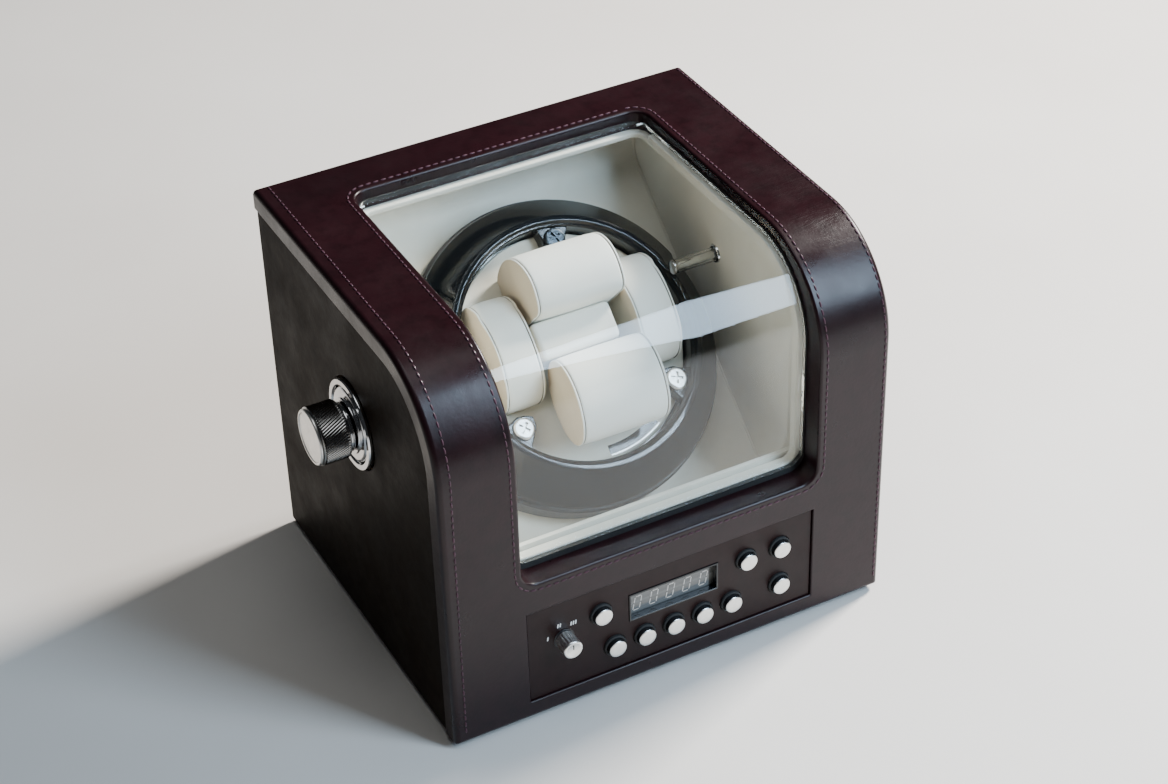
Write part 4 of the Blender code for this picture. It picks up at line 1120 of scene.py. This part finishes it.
def make_buttons():
    """Nine pushbuttons, each a dark body with a satin face, standing in a rubber sleeve."""
    sleeve = [(0.0053, 0.0015), (0.0062, 0.0011), (0.0062, -0.0030), (0.0053, -0.0030)]
    shank = [
        (0.0, 0.0038), (0.0050, 0.0038), (0.0050, -0.0009), (0.0024, -0.0009), (0.0024, -0.0080),
        (0.0, -0.0080)]
    face = [
        (0.0, 0.0043), (0.0034, 0.00428), (0.0046, 0.0041), (0.0049, 0.0037), (0.0049, 0.0034),
        (0.0, 0.0034)]
    for number, (x, z) in enumerate(BUTTONS, start=1):
        place, body = on_front(x, z), f"button_{number}"
        replaced = ["button_collars"] if number == 1 else []
        add_turned(f"button_sleeve_{number}", sleeve, 0.0004, 40, RUBBER, place, "case", replaced)
        add_turned(
            f"button_body_{number}", shank, 0.0003, 40, BLACK_PLASTIC, place, body, [body])
        add_turned(f"button_face_{number}", face, 0.0003, 40, SATIN, place, body)


def bar(sketch, start, end, width, lean, y_front, y_back):
    """A flat bar with pointed ends in the XZ plane, leaning like an italic digit."""
    start, end = Vector(start), Vector(end)
    ahead = (end - start).normalized()
    side = Vector((-ahead.y, ahead.x)) * width / 2.0
    tip = ahead * width / 2.0
    outline = [start, start + tip + side, end - tip + side, end, end - tip - side, start + tip - side]
    outline = [(point.x + point.y * lean, point.y) for point in outline]
    front = [sketch.verts.new((x, y_front, z)) for x, z in outline]
    back = [sketch.verts.new((x, y_back, z)) for x, z in outline]
    sketch.faces.new(front)
    sketch.faces.new(back[::-1])
    for step in range(6):
        after = (step + 1) % 6
        sketch.faces.new((front[step], back[step], back[after], front[after]))


def make_digits():
    """Five seven-segment zeros on the display."""
    width, height, pitch = 0.0038, 0.0082, 0.0096
    gap = 0.00035
    half = height / 2
    places = [
        (0, gap, 0, half - gap), (0, half + gap, 0, height - gap), (gap, height, width - gap, height),
        (width, height - gap, width, half + gap), (width, half - gap, width, gap), (width - gap, 0, gap, 0)]

    def build(sketch):
        for digit in range(5):
            x = -0.0211 + digit * pitch
            for x0, z0, x1, z1 in places:
                start, end = (x + x0, z0 - half), (x + x1, z1 - half)
                bar(sketch, start, end, 0.00052, 0.19, -0.00012, 0.00005)

    place = CASE @ Matrix.Translation((DISPLAY_X, 0.0050, DISPLAY_Z - 0.0014))
    add_piece("display_digits", mesh_from("display_digits", build), SEGMENT, place, "case")


def make_marks():
    """Three position marks round the selector, of one, two and three short bars."""
    radius = 0.0096

    def build(sketch):
        for number, angle in enumerate((160.0, 105.0, 55.0)):
            turn = math.radians(angle)
            middle = Vector((radius * math.cos(turn), radius * math.sin(turn)))
            for strip in range(number + 1):
                x = middle.x + (strip - number / 2.0) * 0.0013
                start, end = (x - 0.0002, middle.y - 0.0013), (x + 0.0002, middle.y + 0.0013)
                bar(sketch, start, end, 0.0007, 0.0, -0.00006, 0.0001)

    place = CASE @ Matrix.Translation((SELECTOR[0], PLATE_FRONT, SELECTOR[1]))
    add_piece("selector_marks", mesh_from("selector_marks", build), PAINT, place, "case")


def make_selector():
    """Small fluted knob with a pointer line on its face."""
    flutes = 18
    low, high = 0.0010, 0.0098

    def flute(angle, radius, height):
        if radius < 0.0051 or not low < height < high:
            return radius
        fade = min(1.0, (height - low) / 0.0004, (high - height) / 0.0004)
        return radius - 0.00028 * fade * (0.5 + 0.5 * math.cos(angle * flutes)) ** 2

    profile = [(0.0, 0.0103), (0.0036, 0.0103), (0.0039, 0.0105), (0.0046, 0.0105), (0.0050, 0.0102)]
    profile += [(0.0052, high - (high - low) * row / 12) for row in range(13)]
    profile += [(0.0047, 0.0005), (0.0015, 0.0004), (0.0015, -0.0080), (0.0, -0.0080)]
    mesh = turned_mesh("fluted_selector", profile, flutes * 8, flute)
    place = on_front(*SELECTOR)
    add_piece("fluted_selector", mesh, SATIN, place, "selector", ["selector_knob"], 45.0)
    line = box_mesh("selector_pointer", (-0.0003, 0.0003, 0.01025), (0.0003, 0.0031, 0.0104))
    line = baked(line, [rounding(0.00006, 2)])
    add_piece("selector_pointer", line, BLACK_PLASTIC, place, "selector")
    ring = [(0.0050, 0.0006), (0.0058, 0.0003), (0.0058, -0.0001), (0.0035, -0.0001), (0.0035, 0.0002)]
    add_turned("selector_washer", ring, 0.0002, 48, BLACK_PLASTIC, place, "case")


def finish_cad_nodes():
    """Materials for the CAD nodes that stay in view."""
    finishes = {
        "carcass": BOARD, "back_panel": SIDE_LEATHER, "service_cover": BLACK_PLASTIC,
        "power_inlet": BLACK_PLASTIC, "base_plate": BLACK_PLASTIC, "hinge_pin_left": SATIN,
        "hinge_pin_right": SATIN, "liner_left": SUEDE, "liner_right": SUEDE, "rotor_bearing": BRASS,
        "rotor_shaft": SATIN, "rotor_plate": SATIN, "drive_gear": NYLON, "motor_pinion": BRASS,
        "gear_motor": SATIN, "motor_mount": SATIN, "knob_control": SATIN, "circuit_board": CIRCUIT,
        "selector_switch": BLACK_PLASTIC}
    for side in ("left", "right"):
        for end in ("front", "back"):
            finishes[f"foot_{end}_{side}"] = RUBBER
    for name, material in finishes.items():
        NODES[name].data.materials.clear()
        NODES[name].data.materials.append(material)


# ---------------------------------------------------------------- stage
def floor_look():
    """Plain pale table surface."""
    look = Look("pale_floor", (0.74, 0.70, 0.655), 0.55)
    look.tint(look.noise(2.5, 4.0, 0.6), 0.3, 0.7, (0.70, 0.655, 0.61), (0.77, 0.735, 0.69))
    return look.material


def area_light(name, place, target, size, size_y, power, colour):
    """A rectangular lamp aimed at a point."""
    data = bpy.data.lights.new(name, 'AREA')
    data.shape = 'RECTANGLE'
    data.size = size
    data.size_y = size_y
    data.energy = power
    data.color = colour
    lamp = linked(name, data)
    lamp.location = place
    lamp.rotation_euler = (Vector(target) - Vector(place)).to_track_quat('-Z', 'Y').to_euler()


def make_stage():
    """Floor, soft light and the camera."""
    mesh = bpy.data.meshes.new("floor")
    reach = 3.0
    corners = [(-reach, -reach, 0), (reach, -reach, 0), (reach, reach, 0), (-reach, reach, 0)]
    mesh.from_pydata(corners, [], [(0, 1, 2, 3)])
    mesh.materials.append(floor_look())
    linked("floor", mesh)

    world = bpy.data.worlds.new("studio")
    world.use_nodes = True
    world.node_tree.nodes["Background"].inputs["Color"].default_value = (0.84, 0.91, 1.0, 1.0)
    world.node_tree.nodes["Background"].inputs["Strength"].default_value = 0.04
    bpy.context.scene.world = world

    target = (0.0, 0.0, 0.10)
    area_light("key", (1.42, 0.22, 1.26), target, 0.36, 0.36, 98.0, (1.0, 0.965, 0.92))
    area_light("overhead", (-0.10, -0.10, 1.60), target, 0.8, 0.8, 5.0, (0.94, 0.98, 1.0))
    area_light("window", (0.66, -1.00, 1.04), target, 0.42, 1.05, 30.0, (0.60, 0.79, 1.0))

    azimuth, elevation, roll = math.radians(-27.289), math.radians(36.271), math.radians(-1.737)
    right = Vector((math.cos(azimuth), math.sin(azimuth), 0.0))
    level = Vector((-math.sin(azimuth), math.cos(azimuth), 0.0))
    ahead = level * math.cos(elevation) - Vector((0.0, 0.0, math.sin(elevation)))
    up = right.cross(ahead)
    turned_right = right * math.cos(roll) + up * math.sin(roll)
    turned_up = up * math.cos(roll) - right * math.sin(roll)
    data = bpy.data.cameras.new("camera")
    data.sensor_width = 36.0
    data.lens = 79.63
    data.clip_start = 0.05
    camera = linked("camera", data)
    pose = Matrix((turned_right, turned_up, -ahead)).transposed().to_4x4()
    pose.translation = SHIFT + Vector((-0.4911, -0.8599, 0.9038))
    camera.matrix_world = pose
    bpy.context.scene.camera = camera


make_stage()
make_cover()
make_sides()
make_stitches()
make_lid()
make_lining()
make_lamp()
make_rotor()
make_cushions()
make_side_knob()
make_panel()
make_selector()
finish_cad_nodes()
